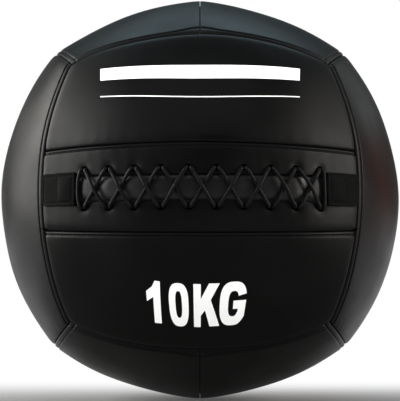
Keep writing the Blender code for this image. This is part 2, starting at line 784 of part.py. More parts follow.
def main():
    """Build the whole ball."""
    clear_scene()
    group = new_collection("wall_ball")
    cutters = new_collection("cutters")
    leather = material("black_leather", (0.018, 0.019, 0.020), 0.5)
    webbing = material("black_webbing", (0.009, 0.009, 0.009), 0.8)
    cord = material("lace_cord", (0.04, 0.04, 0.04), 0.6)
    foam = material("grey_foam", (0.25, 0.25, 0.26), 0.9)
    cloth = material("liner_cloth", (0.55, 0.52, 0.45), 0.9)
    textile = material("textile_fill", (0.30, 0.31, 0.36), 0.95)
    grain = material("iron_grain", (0.10, 0.09, 0.085), 0.6)

    panels = make_panels(group, leather)
    backings = {}
    for side, row in ((1, "upper"), (-1, "lower")):
        backings[row] = make_backing(group, webbing, side, f"hole_backing_{row}")
        cutter = make_hole_cutter(cutters, side, f"hole_cutter_{row}")
        add_cut(panels[f"lacing_flap_{row}"], cutter)
        add_cut(backings[row], cutter)
    make_tongue(group, leather)
    make_tab(group, webbing, -1, TAB_LENGTH_LEFT, "end_tab_left")
    make_tab(group, webbing, 1, TAB_LENGTH_RIGHT, "end_tab_right")
    make_lace(group, cord)
    make_pads(group, foam)
    make_liner(group, cutters, cloth)
    pocket = make_core(group, cutters, cloth, grain, cord)
    make_fill(group, textile, pocket)


main()
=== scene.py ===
# %% [markdown]
# # A laced wall ball
# A wall ball is a soft, heavy ball that is thrown at a wall and caught again. Fourteen panels of
# synthetic leather are sewn into a shell, a slit at the front lets the maker fill it, and a lace shuts
# the slit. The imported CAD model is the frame: it holds the places and sizes, and this script dresses it.

# %% Load the frame
import json
import math

import bmesh
import bpy
import numpy as np
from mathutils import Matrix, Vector
from mathutils.geometry import delaunay_2d_cdt

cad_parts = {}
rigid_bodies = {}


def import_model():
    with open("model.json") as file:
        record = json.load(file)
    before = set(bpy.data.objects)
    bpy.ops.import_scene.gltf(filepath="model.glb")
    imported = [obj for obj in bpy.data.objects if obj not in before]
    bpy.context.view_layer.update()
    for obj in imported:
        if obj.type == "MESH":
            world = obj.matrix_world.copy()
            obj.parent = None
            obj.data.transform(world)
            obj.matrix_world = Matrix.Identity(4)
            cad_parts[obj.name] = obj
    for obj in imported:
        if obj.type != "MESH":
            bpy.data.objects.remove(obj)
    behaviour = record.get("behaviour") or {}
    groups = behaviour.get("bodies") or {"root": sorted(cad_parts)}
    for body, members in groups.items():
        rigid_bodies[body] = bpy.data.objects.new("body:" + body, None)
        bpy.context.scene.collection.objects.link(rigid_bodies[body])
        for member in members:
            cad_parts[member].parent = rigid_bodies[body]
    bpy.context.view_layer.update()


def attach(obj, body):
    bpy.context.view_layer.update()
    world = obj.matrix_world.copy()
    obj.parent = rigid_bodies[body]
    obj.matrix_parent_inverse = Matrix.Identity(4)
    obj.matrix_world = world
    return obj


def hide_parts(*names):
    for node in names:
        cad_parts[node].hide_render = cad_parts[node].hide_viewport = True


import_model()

MM = 0.001

# %% [markdown]
# ## Camera
# The photograph was taken with a long lens from a little below the ball's middle. The distance is set
# by how much of the side panels shows past the front face, and the lens by how large the ball is in
# the picture.

# %% Camera
CENTRE_HEIGHT = 172.7 * MM
CAMERA_DISTANCE = 1312.5 * MM
CAMERA_BELOW = math.radians(3.5)
CAMERA_LENS = 132.7

to_camera = Vector((0, -math.cos(CAMERA_BELOW), -math.sin(CAMERA_BELOW)))
camera_data = bpy.data.cameras.new("camera")
camera_data.lens = CAMERA_LENS
camera = bpy.data.objects.new("camera", camera_data)
camera.location = Vector((0, 0, CENTRE_HEIGHT)) + to_camera * CAMERA_DISTANCE
camera.rotation_mode = "QUATERNION"
camera.rotation_quaternion = (-to_camera).to_track_quat("-Z", "Y")
bpy.context.scene.collection.objects.link(camera)
bpy.context.scene.camera = camera
print("camera at", [round(x, 3) for x in camera.location])

# %% [markdown]
# ## Nodes and colours
# Every finish is a small graph of nodes. One function adds a node, sets its values and links its
# inputs. Colours are picked as the hex values that a paint program shows, which are sRGB, and Blender
# computes in linear light, so one function converts them.

# %% Helpers for materials
def linear(hex_colour):
    """Linear RGBA of an sRGB hex colour: low values divided by 12.92, the others a power of 2.4."""
    value = np.array([int(hex_colour[i:i + 2], 16) for i in (1, 3, 5)]) / 255
    light = np.where(value <= 0.04045, value / 12.92, ((value + 0.055) / 1.055) ** 2.4)
    return (*light, 1.0)


def set_inputs(tree, node, inputs):
    """Give each named input of a node a value, or a link where the value is another node's socket."""
    for name, value in inputs.items():
        if isinstance(value, bpy.types.NodeSocket):
            tree.links.new(value, node.inputs[name])
        else:
            node.inputs[name].default_value = value


def add_node(tree, kind, inputs=None, **settings):
    """Add a node, set its properties and then its inputs."""
    node = tree.nodes.new(kind)
    for name, value in settings.items():
        setattr(node, name, value)
    set_inputs(tree, node, inputs or {})
    return node


def new_material(name):
    """A material with an empty graph, its Principled shader and its output."""
    made = bpy.data.materials.new(name)
    made.use_nodes = True
    tree = made.node_tree
    tree.nodes.clear()
    shader = add_node(tree, "ShaderNodeBsdfPrincipled")
    add_node(tree, "ShaderNodeOutputMaterial", {"Surface": shader.outputs["BSDF"]})
    return made, tree, shader


def per_size(size):
    """Texture scale at which one cell or wave of the pattern has this real size."""
    return 1 / size

# %% [markdown]
# ## Studio
# The ball stands on pale paper, which is shown plain white behind it but lights it only as grey paper
# does. The world is what the leather mirrors: bright paper straight behind the ball and a dark room
# elsewhere. From the camera's side it also lights the ball softly, with a fill that is never seen
# itself. Seven soft boxes stand round the ball: two to the left, one above, one in front and three to
# the right, of which the small one low behind is weak and reddish.

# %% World
ROOM_LIGHT = 0.06
FILL_LIGHT = 2.0
PAPER_CONE = math.radians(15)
PAPER_FADE = math.radians(22)
FILL_START = -0.2
FILL_FULL = -0.75


def shown_to_camera(tree):
    """1 for rays that show something to the camera, straight, mirrored or through glass, and else 0."""
    ray = add_node(tree, "ShaderNodeLightPath").outputs
    seen = add_node(tree, "ShaderNodeMath", {0: ray["Is Camera Ray"], 1: ray["Is Glossy Ray"]},
                    operation="MAXIMUM")
    return add_node(tree, "ShaderNodeMath", {0: seen.outputs[0], 1: ray["Is Transmission Ray"]},
                    operation="MAXIMUM")


world = bpy.data.worlds.new("studio")
bpy.context.scene.world = world
world.use_nodes = True
tree = world.node_tree
tree.nodes.clear()
direction = add_node(tree, "ShaderNodeTexCoord")
facing = add_node(tree, "ShaderNodeSeparateXYZ", {"Vector": direction.outputs["Generated"]})
paper = add_node(tree, "ShaderNodeMapRange", {
    "Value": facing.outputs["Y"], "From Min": math.cos(PAPER_FADE), "From Max": math.cos(PAPER_CONE),
    "To Min": ROOM_LIGHT, "To Max": 1.0}, interpolation_type="SMOOTHSTEP")
seen = shown_to_camera(tree)
fill = add_node(tree, "ShaderNodeMapRange", {
    "Value": facing.outputs["Y"], "From Min": FILL_START, "From Max": FILL_FULL,
    "To Min": ROOM_LIGHT, "To Max": FILL_LIGHT}, interpolation_type="SMOOTHSTEP")
strength = add_node(tree, "ShaderNodeMix", {"Factor": seen.outputs[0], "A": fill.outputs["Result"],
                                            "B": paper.outputs["Result"]})
background = add_node(tree, "ShaderNodeBackground", {"Color": (1, 1, 1, 1),
                                                     "Strength": strength.outputs["Result"]})
add_node(tree, "ShaderNodeOutputWorld", {"Surface": background.outputs["Background"]})
bpy.context.scene.view_settings.view_transform = "Standard"

# %% Lamps
SOFT_BOXES = {
    "left_box": ((-1.9, 0.25, 0.85), 2.0, 1.5, 8.6, "#fffdf8"),
    "left_front_box": ((-1.8, -0.85, 0.85), 0.7, 1.5, 8.0, "#ffffff"),
    "top_box": ((0.05, 0.7, 2.0), 2.2, 1.2, 3.0, "#c4e0ea"),
    "front_box": ((0.0, -1.4, 1.9), 2.0, 1.0, 1.1, "#ffffff"),
    "right_box": ((1.9, -0.5, 0.75), 0.9, 1.5, 11.0, "#fffaf4"),
    "right_back_box": ((1.5, 1.4, 1.2), 0.7, 0.9, 1.3, "#e6f0f0"),
    "rim_box": ((1.3, 0.9, 0.35), 0.3, 0.6, 1.0, "#ff8a76"),
}


def add_soft_box(name, place, width, tall, radiance, colour):
    """Area lamp, in metres, aimed at the ball's middle; its watts are radiance times pi times its area."""
    lamp = bpy.data.lights.new(name, "AREA")
    lamp.shape = "RECTANGLE"
    lamp.size = width
    lamp.size_y = tall
    lamp.energy = radiance * math.pi * width * tall
    lamp.color = linear(colour)[:3]
    made = bpy.data.objects.new(name, lamp)
    made.location = place
    aim = Vector((0, 0, CENTRE_HEIGHT)) - made.location
    made.rotation_mode = "QUATERNION"
    made.rotation_quaternion = aim.to_track_quat("-Z", "Y")
    bpy.context.scene.collection.objects.link(made)


for name, settings in SOFT_BOXES.items():
    add_soft_box(name, *settings)
print("soft boxes:", len(SOFT_BOXES))

# %% Floor
FLOOR_RADIUS = 6.0
FLOOR_DROP = 0.1 * MM
FLOOR_SIDES = 64
WHITE_START = -0.08
WHITE_FULL = 0.23


def full_turn(count):
    """Even angles round a circle, from 0."""
    return np.arange(count) / count * 2 * np.pi


floor_finish, tree, shader = new_material("matt white background paper")
set_inputs(tree, shader, {"Base Color": linear("#828281"), "Roughness": 0.85, "Specular IOR Level": 0.2})
place = add_node(tree, "ShaderNodeTexCoord")
place = add_node(tree, "ShaderNodeSeparateXYZ", {"Vector": place.outputs["Object"]})
behind = add_node(tree, "ShaderNodeMapRange", {
    "Value": place.outputs["Y"], "From Min": WHITE_START, "From Max": WHITE_FULL,
    "To Min": 0.0, "To Max": 1.0}, interpolation_type="SMOOTHSTEP")
seen = shown_to_camera(tree)
share = add_node(tree, "ShaderNodeMath", {0: seen.outputs[0], 1: behind.outputs["Result"]},
                 operation="MULTIPLY")
white = add_node(tree, "ShaderNodeEmission", {"Color": (1, 1, 1, 1), "Strength": 1.0})
blend = add_node(tree, "ShaderNodeMixShader", {0: share.outputs[0], 1: shader.outputs["BSDF"],
                                               2: white.outputs["Emission"]})
output = next(node for node in tree.nodes if node.type == "OUTPUT_MATERIAL")
tree.links.new(blend.outputs["Shader"], output.inputs["Surface"])

floor_mesh = bpy.data.meshes.new("floor")
turn = full_turn(FLOOR_SIDES)
rim = np.stack([FLOOR_RADIUS * np.cos(turn), FLOOR_RADIUS * np.sin(turn), 0 * turn - FLOOR_DROP], axis=1)
floor_mesh.from_pydata(rim.tolist(), [], [list(range(len(rim)))])
floor_mesh.materials.append(floor_finish)
floor = bpy.data.objects.new("floor", floor_mesh)
bpy.context.scene.collection.objects.link(floor)

# %% [markdown]
# ## Leather
# The shell is synthetic leather: a knitted cloth with a coat of polyurethane, rolled under a heated
# drum that presses a fine pebbled grain into it. It is near black and has a soft satin gloss, so what
# is seen is mostly the room in it. The grain is cells under a millimetre wide with finer creases.
# Handling leaves faint cloudy patches, and the turned edges at the seams are rubbed a little paler.

# %% Leather finish
GRAIN = 0.9 * MM
CREASE = 0.35 * MM
CLOUD = 55 * MM
SCUFF = 6 * MM
RUBBED_EDGE = 3.2 * MM
GRAIN_HEIGHT = 0.08 * MM

leather, tree, shader = new_material("black polyurethane leather")
place = add_node(tree, "ShaderNodeTexCoord").outputs["Object"]
cloud = add_node(tree, "ShaderNodeTexNoise", {"Vector": place, "Scale": per_size(CLOUD), "Detail": 4.0})
scuff = add_node(tree, "ShaderNodeTexNoise", {"Vector": place, "Scale": per_size(SCUFF), "Detail": 6.0,
                                              "Roughness": 0.7})
grain = add_node(tree, "ShaderNodeTexVoronoi", {"Vector": place, "Scale": per_size(GRAIN)},
                 feature="SMOOTH_F1")
crease = add_node(tree, "ShaderNodeTexNoise", {"Vector": place, "Scale": per_size(CREASE), "Detail": 3.0})
seam = add_node(tree, "ShaderNodeAttribute", attribute_name="from_seam")
rubbed = add_node(tree, "ShaderNodeMapRange", {"Value": seam.outputs["Fac"], "From Min": 0.0,
                                               "From Max": RUBBED_EDGE, "To Min": 0.55, "To Max": 0.0})
plain = add_node(tree, "ShaderNodeMix", {"Factor": cloud.outputs["Fac"], "A": linear("#020202"),
                                         "B": linear("#070707")}, data_type="RGBA")
worn = add_node(tree, "ShaderNodeMapRange", {"Value": scuff.outputs["Fac"], "From Min": 0.56,
                                             "From Max": 0.8, "To Min": 0.0, "To Max": 0.5})
tone = add_node(tree, "ShaderNodeMix", {"Factor": worn.outputs["Result"], "A": plain.outputs["Result"],
                                        "B": linear("#0d0d0e")}, data_type="RGBA")
tone = add_node(tree, "ShaderNodeMix", {"Factor": rubbed.outputs["Result"], "A": tone.outputs["Result"],
                                        "B": linear("#0c0c0d")}, data_type="RGBA")
gloss = add_node(tree, "ShaderNodeMapRange", {"Value": cloud.outputs["Fac"], "From Min": 0.3,
                                              "From Max": 0.7, "To Min": 0.34, "To Max": 0.5})
fine = add_node(tree, "ShaderNodeMath", {0: crease.outputs["Fac"], 1: 0.5}, operation="MULTIPLY")
relief = add_node(tree, "ShaderNodeMath", {0: grain.outputs["Distance"], 1: fine.outputs[0]}, operation="ADD")
bump = add_node(tree, "ShaderNodeBump", {"Height": relief.outputs[0], "Strength": 0.35,
                                         "Distance": GRAIN_HEIGHT})
set_inputs(tree, shader, {"Base Color": tone.outputs["Result"], "Roughness": gloss.outputs["Result"],
                          "Normal": bump.outputs["Normal"], "Specular IOR Level": 0.1})

# %% [markdown]
# ## Shape of the shell
# Six faces of a cube, blown up to a ball, carry the panels. A point is given by a share along the
# face's seams, a share across them and a depth below the leather. The ball bulges out a little along
# the seams between faces, and each panel is drawn flatter between its seams, as stuffed leather is.

# %% Sizes of the ball
BALL_RADIUS = 175 * MM
EDGE_RISE = 5.6 * MM
CORNER_RISE = 8.8 * MM
PANEL_DIP = 3.1 * MM
SIDE_PANEL_DIP = 1.2 * MM
QUARTER = math.pi / 4
FACE_ARC = BALL_RADIUS * QUARTER
CLEARANCE = 0.3 * MM

FACES = {
    "front": ((0, -1, 0), (1, 0, 0), (0, 0, 1)),
    "back": ((0, 1, 0), (-1, 0, 0), (0, 0, 1)),
    "left": ((-1, 0, 0), (0, 0, 1), (0, 1, 0)),
    "right": ((1, 0, 0), (0, 0, 1), (0, -1, 0)),
    "top": ((0, 0, 1), (0, 1, 0), (-1, 0, 0)),
    "bottom": ((0, 0, -1), (0, 1, 0), (1, 0, 0)),
}
FACE_DIPS = {"left": SIDE_PANEL_DIP, "right": SIDE_PANEL_DIP}

# %% Seams of the front face
STRIP_HALF_HEIGHT = 35.4 * MM
STRIP_END_DROP = 3.2 * MM
SLIT_HALF_HEIGHT = 10 * MM


def height_share(height, along):
    """Share across the front at a height: arctangent of height over the rest of the radius, in quarters."""
    slope = np.tan(along * QUARTER)
    radius = BALL_RADIUS + EDGE_RISE * along ** 2
    return np.arctan(height * np.sqrt(1 + slope ** 2) / np.sqrt(radius ** 2 - height ** 2)) / QUARTER


def strip_share(along):
    """Share of the seam above the lacing strip, which comes down a little towards its ends."""
    return height_share(STRIP_HALF_HEIGHT - STRIP_END_DROP * along ** 2, along)


def slit_share(along):
    """Share of the slit's upper edge."""
    return height_share(SLIT_HALF_HEIGHT, along)

# %% [markdown]
# Stuffing is never even. A few long waves through space, less than half a millimetre high, make the
# leather swell and sag a little. They are read at the point's place in space, so panels still meet.

# %% Swell of the stuffing
SWELL = 0.45 * MM
SWELL_LENGTHS = (55 * MM, 130 * MM)


def waves(position, lengths, count, seed):
    """Sum of sines over space, each with a random length, heading and phase, scaled to about -1 to 1."""
    choice = np.random.default_rng(seed)
    total = np.zeros(position.shape[:-1])
    for _ in range(count):
        heading = choice.normal(size=3)
        heading /= np.linalg.norm(heading)
        turns = position @ heading / choice.uniform(*lengths) + choice.uniform()
        total += np.sin(2 * np.pi * turns)
    return total / np.sqrt(count)

# %% Points of the shell
def shell(face, along, across, depth):
    """Outward + tan(along) lengthwise + tan(across) crosswise, as long as the leather's radius less depth."""
    along, across, depth = np.broadcast_arrays(along, across, np.asarray(depth, float))
    outward, lengthwise, crosswise = np.array(FACES[face], float)
    direction = (outward + np.tan(along * QUARTER)[..., None] * lengthwise
                 + np.tan(across * QUARTER)[..., None] * crosswise)
    direction = direction / np.linalg.norm(direction, axis=-1, keepdims=True)
    radius = BALL_RADIUS + EDGE_RISE * (along ** 2 + across ** 2)
    radius = radius + (CORNER_RISE - 2 * EDGE_RISE) * along ** 2 * across ** 2
    strip = strip_share(along)
    seams = [-1.0, -strip, strip, 1.0] if face == "front" else [-1.0, 0.0, 1.0]
    sag = 4 * FACE_DIPS.get(face, PANEL_DIP) * (1 - along ** 4)
    for low, high in zip(seams, seams[1:]):
        between = (across > low) & (across < high)
        radius = radius - np.where(between, sag * (across - low) * (high - across), 0)
    swell = SWELL * waves(direction * BALL_RADIUS, SWELL_LENGTHS, count=7, seed=12)
    point = direction * (radius + swell - depth)[..., None]
    point[..., 2] = np.maximum(point[..., 2] + CENTRE_HEIGHT, 0)
    return point


def seam_step(distance, share, other):
    """Change of share that moves this distance off a seam, where the other share is given."""
    slope = np.tan(other * QUARTER)
    line = share * QUARTER
    return distance / FACE_ARC * np.sqrt(np.cos(line) ** 2 * (1 + slope ** 2) + np.sin(line) ** 2)

# %% [markdown]
# ## Meshes
# A surface is a grid of points, kept as one array of rows, columns and x, y, z. Its faces are the
# same for any grid, so they come from one array of point numbers. A closed slab is two such grids,
# outer and inner, with a rim between them.

# %% Grids to meshes
def grid_faces(rows, columns, round_rows=False):
    """Four corners of each cell; with round_rows the last column joins the first again."""
    number = np.arange(rows * columns).reshape(rows, columns)
    if round_rows:
        number = np.append(number, number[:, :1], axis=1)
    corners = [number[:-1, :-1], number[:-1, 1:], number[1:, 1:], number[1:, :-1]]
    return np.stack(corners, axis=-1).reshape(-1, 4)


def dress(name, mesh, finish, slot, replaced=None):
    """Make a mesh a smooth piece that rides on the ball, in place of a CAD node if one is named."""
    mesh.shade_smooth()
    mesh.materials.append(finish)
    piece = bpy.data.objects.new(name, mesh)
    bpy.context.scene.collection.objects.link(piece)
    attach(piece, "root")
    if replaced:
        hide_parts(replaced)
    print(name, len(mesh.polygons), "faces")
    return piece


def add_piece(name, points, faces, *finish, uv=None, seam_distance=None):
    """Make a piece of points and faces; finish is its material, its slot (not used) and the CAD node it
    replaces.
    """
    mesh = bpy.data.meshes.new(name)
    mesh.from_pydata(points.reshape(-1, 3).tolist(), [], list(faces))
    if uv is not None:
        corner = np.empty(len(mesh.loops), dtype=np.int32)
        mesh.loops.foreach_get("vertex_index", corner)
        layer = mesh.uv_layers.new(name="surface")
        layer.uv.foreach_set("vector", uv.reshape(-1, 2)[corner].ravel())
    if seam_distance is not None:
        layer = mesh.attributes.new("from_seam", "FLOAT", "POINT")
        layer.data.foreach_set("value", np.ascontiguousarray(seam_distance, dtype=np.float32).ravel())
    return dress(name, mesh, *finish)


def slab_faces(rows, columns):
    """Faces of an outer grid, an inner grid turned over, and the rim between their edges."""
    outer = grid_faces(rows, columns)
    inner = outer[:, ::-1] + rows * columns
    number = np.arange(rows * columns).reshape(rows, columns)
    edge = np.concatenate([number[0, :-1], number[:-1, -1], number[-1, :0:-1], number[:0:-1, 0]])
    after = np.roll(edge, -1)
    rim = np.stack([edge, edge + rows * columns, after + rows * columns, after], axis=1)
    return np.concatenate([outer, inner, rim])


def add_slab(name, outer, inner, *finish, uv=None, **more):
    """Closed slab between two grids of the same size."""
    rows, columns = outer.shape[:2]
    both = np.stack([outer, inner])
    if uv is not None:
        uv = np.stack([uv, uv])
    return add_piece(name, both, slab_faces(rows, columns), *finish, uv=uv, **more)

# %% [markdown]
# ## Lace
# One round cord, a metre and a half long, is threaded through ten pairs of holes: out at a hole, over
# the slit to the next pair's other row, in there, and back across behind the tongue. Two strands that
# mirror each other take turns to lie on top. The route's own points are the CAD model's.

# %% Places of the lace holes
HOLE_PAIRS = 10
HOLE_GAP_LEFT = 5.5 * MM
HOLE_GAP_RIGHT = 3.8 * MM
HOLE_HEIGHT = 15.6 * MM
HOLE_WIDTH = 7 * MM
HOLE_TALLNESS = 5 * MM
TAB_LENGTH_LEFT = 36.6 * MM
TAB_LENGTH_RIGHT = 34.4 * MM
FIRST_HOLE = HOLE_GAP_LEFT + TAB_LENGTH_LEFT - FACE_ARC
LAST_HOLE = FACE_ARC - TAB_LENGTH_RIGHT - HOLE_GAP_RIGHT
HOLE_PITCH = (LAST_HOLE - FIRST_HOLE) / (HOLE_PAIRS - 1)


def hole_share(pair):
    """Share along the front face of a pair of holes."""
    return (FIRST_HOLE + pair * HOLE_PITCH) / FACE_ARC


def lacing_frame(along, height):
    """Point of the lacing strip, with the directions along, up and outward at it."""
    across = height_share(height, along)
    step = CLEARANCE / FACE_ARC
    point = shell("front", along, across, 0.0)
    right = shell("front", along + step, across, 0.0) - point
    up = shell("front", along, across + step, 0.0) - point
    right /= np.linalg.norm(right)
    outward = np.cross(right, up)
    outward /= np.linalg.norm(outward)
    return point, right, np.cross(outward, right), outward

# %% Route of the lace
HEM_RADIUS = 1.5 * MM
HEM_DEPTH = 1.8 * MM
UNDER_FLAP_DEPTH = HEM_DEPTH + CLEARANCE
TONGUE_THICKNESS = 1.4 * MM
LACE_DIAMETER = 2.8 * MM
LACE_TAIL = 9 * MM
LEFT_BAR_BOW = 2.2 * MM
RIGHT_BAR_BOW = 0.3 * MM
LACE_RADIUS = LACE_DIAMETER / 2
BESIDE = LACE_RADIUS + 0.75 * CLEARANCE
OVER_LEATHER = LACE_RADIUS + CLEARANCE
BEHIND = UNDER_FLAP_DEPTH + TONGUE_THICKNESS + CLEARANCE + LACE_RADIUS
LIP = HOLE_TALLNESS / 2
LIFT_LOW = OVER_LEATHER - HEM_RADIUS / 2
LIFT_HIGH = LIFT_LOW + LACE_DIAMETER + 1.5 * CLEARANCE
SINK_LOW = BEHIND + LACE_DIAMETER + 1.5 * CLEARANCE
FALLING_ON_TOP = (True, True, True, False, True, False, False, True, True)


def spots(pair, row, items):
    """Points near a pair of holes, from sideways shifts, heights on the row's side and lifts."""
    made = []
    for shift, height, lift in items:
        point, _, _, outward = lacing_frame(hole_share(pair) + shift / FACE_ARC, row * height)
        made.append(point + outward * lift)
    return made


def over_slit(pair, row, lift):
    """Out of a hole of one row, over the slit and into the next pair's hole in the other row."""
    rise = [(BESIDE, HOLE_HEIGHT - CLEARANCE, -UNDER_FLAP_DEPTH),
            (BESIDE * 1.05, HOLE_HEIGHT - CLEARANCE, 0),
            (BESIDE * 1.3, HOLE_HEIGHT - LACE_RADIUS, OVER_LEATHER * 0.95),
            (BESIDE + HOLE_PITCH * 0.1, HOLE_HEIGHT - LIP - LACE_RADIUS, OVER_LEATHER * 1.2)]
    fall = [(-shift, height, up) for shift, height, up in rise[::-1]]
    return spots(pair, row, rise) + spots(pair + 0.5, row, [(0, 0, lift)]) + spots(pair + 1, -row, fall)


def behind_tongue(pair, row, sink):
    """In at a hole and back to the hole of the same pair in the other row."""
    there = [(-BESIDE, HOLE_HEIGHT * 0.97, -0.95 * BEHIND), (-BESIDE, HOLE_HEIGHT * 0.7, -sink)]
    back = [(BESIDE, HOLE_HEIGHT * 0.7, -sink), (BESIDE, HOLE_HEIGHT * 0.97, -0.95 * BEHIND)]
    return spots(pair, row, there) + spots(pair, -row, back)


def end_bar(pair, shift, bow):
    """Straight up over the slit from the lower to the upper hole of an end pair, bowed sideways."""
    rise = [(shift, HOLE_HEIGHT - CLEARANCE, -UNDER_FLAP_DEPTH),
            (shift, HOLE_HEIGHT - CLEARANCE, 0),
            (shift + bow * 0.15, HOLE_HEIGHT - LACE_RADIUS, OVER_LEATHER * 0.9),
            (shift + bow * 0.6, HOLE_HEIGHT - LIP - LACE_DIAMETER, OVER_LEATHER * 1.2)]
    top = [(shift + bow, 0, OVER_LEATHER * 1.2)]
    return spots(pair, -1, rise + top) + spots(pair, 1, rise[::-1])


def tail(row, side):
    """From the last pair's hole inwards to where the end is tucked in."""
    tucked = (side * (BESIDE + LACE_TAIL / 3), HOLE_HEIGHT - LACE_TAIL / 2, -SINK_LOW)
    return spots(HOLE_PAIRS - 1, row, [(side * BESIDE, HOLE_HEIGHT * 0.97, -0.95 * BEHIND), tucked])


falling = []
rising = []
for pair, on_top in enumerate(FALLING_ON_TOP):
    falling += behind_tongue(pair, -1, SINK_LOW) + over_slit(pair, 1, LIFT_HIGH if on_top else LIFT_LOW)
    rising += behind_tongue(pair, 1, BEHIND) + over_slit(pair, -1, LIFT_LOW if on_top else LIFT_HIGH)
last = HOLE_PAIRS - 1
route = (tail(-1, -1)[::-1] + falling[::-1] + end_bar(0, -BESIDE, -LEFT_BAR_BOW) + rising
         + behind_tongue(last, 1, BEHIND) + end_bar(last, BESIDE, RIGHT_BAR_BOW) + tail(1, 1))
route = np.array(route)
print("lace route:", len(route), "points")

# %% Smooth line through the route
LACE_STEP = 0.42 * MM
STEPS_BETWEEN = 40


def running_length(line):
    """Length from a line's start to each of its points: the sum of the steps before it."""
    return np.concatenate([[0], np.cumsum(np.linalg.norm(np.diff(line, axis=0), axis=1))])


def read_along(values, travelled, wanted):
    """Values known at travelled lengths, read straight between them at the wanted lengths."""
    return np.stack([np.interp(wanted, travelled, values[:, i]) for i in range(3)], axis=1)


def even_points(line, spacing):
    """Points at even steps of running length along a line, and that length."""
    travelled = running_length(line)
    wanted = np.linspace(0, travelled[-1], round(travelled[-1] / spacing) + 1)
    return read_along(line, travelled, wanted), wanted


def smooth_line(points):
    """Cubic curve through points: its heading at each is its two chords', the shorter one counting more."""
    run = np.diff(points, axis=0)
    chord = np.linalg.norm(run, axis=1, keepdims=True)
    unit = run / chord
    inner = (unit[:-1] * chord[1:] + unit[1:] * chord[:-1]) / (chord[:-1] + chord[1:])
    heading = np.concatenate([unit[:1], inner, unit[-1:]])
    leave = (heading[:-1] * chord)[:, None]
    arrive = (heading[1:] * chord)[:, None]
    run = run[:, None]
    share = np.linspace(0, 1, STEPS_BETWEEN, endpoint=False)[None, :, None]
    curve = (points[:-1, None] + leave * share + (3 * run - 2 * leave - arrive) * share ** 2
             + (leave + arrive - 2 * run) * share ** 3)
    return np.concatenate([curve.reshape(-1, 3), points[-1:]])


lace_line, lace_run = even_points(smooth_line(route), LACE_STEP)
print("lace length:", round(lace_run[-1], 3), "m")

# %% [markdown]
# The cord is a tight braid of eight strands, waxed so that it is smooth and a little glossy. Its relief
# is a plain weave laid round the cord on two sets of helices.

# %% Braid of the lace
LACE_SIDES = 20
BRAID_LEAD = 12 * MM
BRAID_DEPTH = 0.13 * MM
BRAID_RADIUS = 1.5 * MM
CORD_FIBRE = 0.3 * MM
CORD_FIBRE_HEIGHT = 0.05 * MM
WAX_PATCH = 9 * MM


def weave(u, v):
    """Height from 0 to 1 of a plain weave, one strand per unit: half round across, dipping at its ends."""
    over = (np.floor(u) + np.floor(v)) % 2 < 1
    across = np.where(over, u, v) % 1
    length = np.where(over, v, u) % 1
    return np.sqrt(np.sin(np.pi * across)) * (0.55 + 0.45 * np.sin(np.pi * length))


def tube_rings(line, sides, radius):
    """Rings of points round a line at a radius, which may differ by point and side."""
    heading = np.gradient(line, axis=0)
    heading /= np.linalg.norm(heading, axis=1, keepdims=True)
    side = np.cross(heading, (1.0, 0.0, 0.0))
    side /= np.linalg.norm(side, axis=1, keepdims=True)
    turn = full_turn(sides)
    ring = (np.cos(turn)[None, :, None] * side[:, None]
            + np.sin(turn)[None, :, None] * np.cross(heading, side)[:, None])
    return line[:, None] + ring * radius[..., None]


turn = np.arange(LACE_SIDES)[None, :] / LACE_SIDES
travel = lace_run[:, None] / BRAID_LEAD
braid = weave(4 * (turn - travel), 4 * (turn + travel))
rings = tube_rings(lace_line, LACE_SIDES, BRAID_RADIUS - BRAID_DEPTH * (1 - braid))
caps = [list(range(LACE_SIDES))[::-1], list(range((len(rings) - 1) * LACE_SIDES, len(rings) * LACE_SIDES))]
walls = grid_faces(len(rings), LACE_SIDES, round_rows=True).tolist()

lace_cord, tree, shader = new_material("waxed braided cord")
place = add_node(tree, "ShaderNodeTexCoord").outputs["Object"]
fibre = add_node(tree, "ShaderNodeTexNoise", {"Vector": place, "Scale": per_size(CORD_FIBRE), "Detail": 3.0})
patch = add_node(tree, "ShaderNodeTexNoise", {"Vector": place, "Scale": per_size(WAX_PATCH), "Detail": 2.0})
tone = add_node(tree, "ShaderNodeMix", {"Factor": fibre.outputs["Fac"], "A": linear("#040404"),
                                        "B": linear("#111112")}, data_type="RGBA")
gloss = add_node(tree, "ShaderNodeMapRange", {"Value": patch.outputs["Fac"], "From Min": 0.3, "From Max": 0.7,
                                              "To Min": 0.33, "To Max": 0.48})
bump = add_node(tree, "ShaderNodeBump", {"Height": fibre.outputs["Fac"], "Strength": 0.3,
                                         "Distance": CORD_FIBRE_HEIGHT})
set_inputs(tree, shader, {"Base Color": tone.outputs["Result"], "Roughness": gloss.outputs["Result"],
                          "Normal": bump.outputs["Normal"], "Specular IOR Level": 0.1})

lace = add_piece("braided_lace", rings, walls + caps, lace_cord, "lace_cord", "lace")

# %% [markdown]
# ## Leather panels
# A panel is cut flat and sewn inside out, so its edge turns in at the seam with a small round
# shoulder. Beside each seam between two faces, and beside the lacing strip, a second row of stitches
# holds the allowance down, and its thread sinks in a shallow channel. Stretched over the filling, the
# leather puckers along its seams. A seam lies in a valley: deep between two faces and along the lacing
# strip, shallow in the middle of the other faces, and wide at the ends of the top and bottom panels,
# where it slopes from the second row of stitches down to the seam. A grid with its own lines at the
# seams shows all this, and far fewer faces do for the middle.

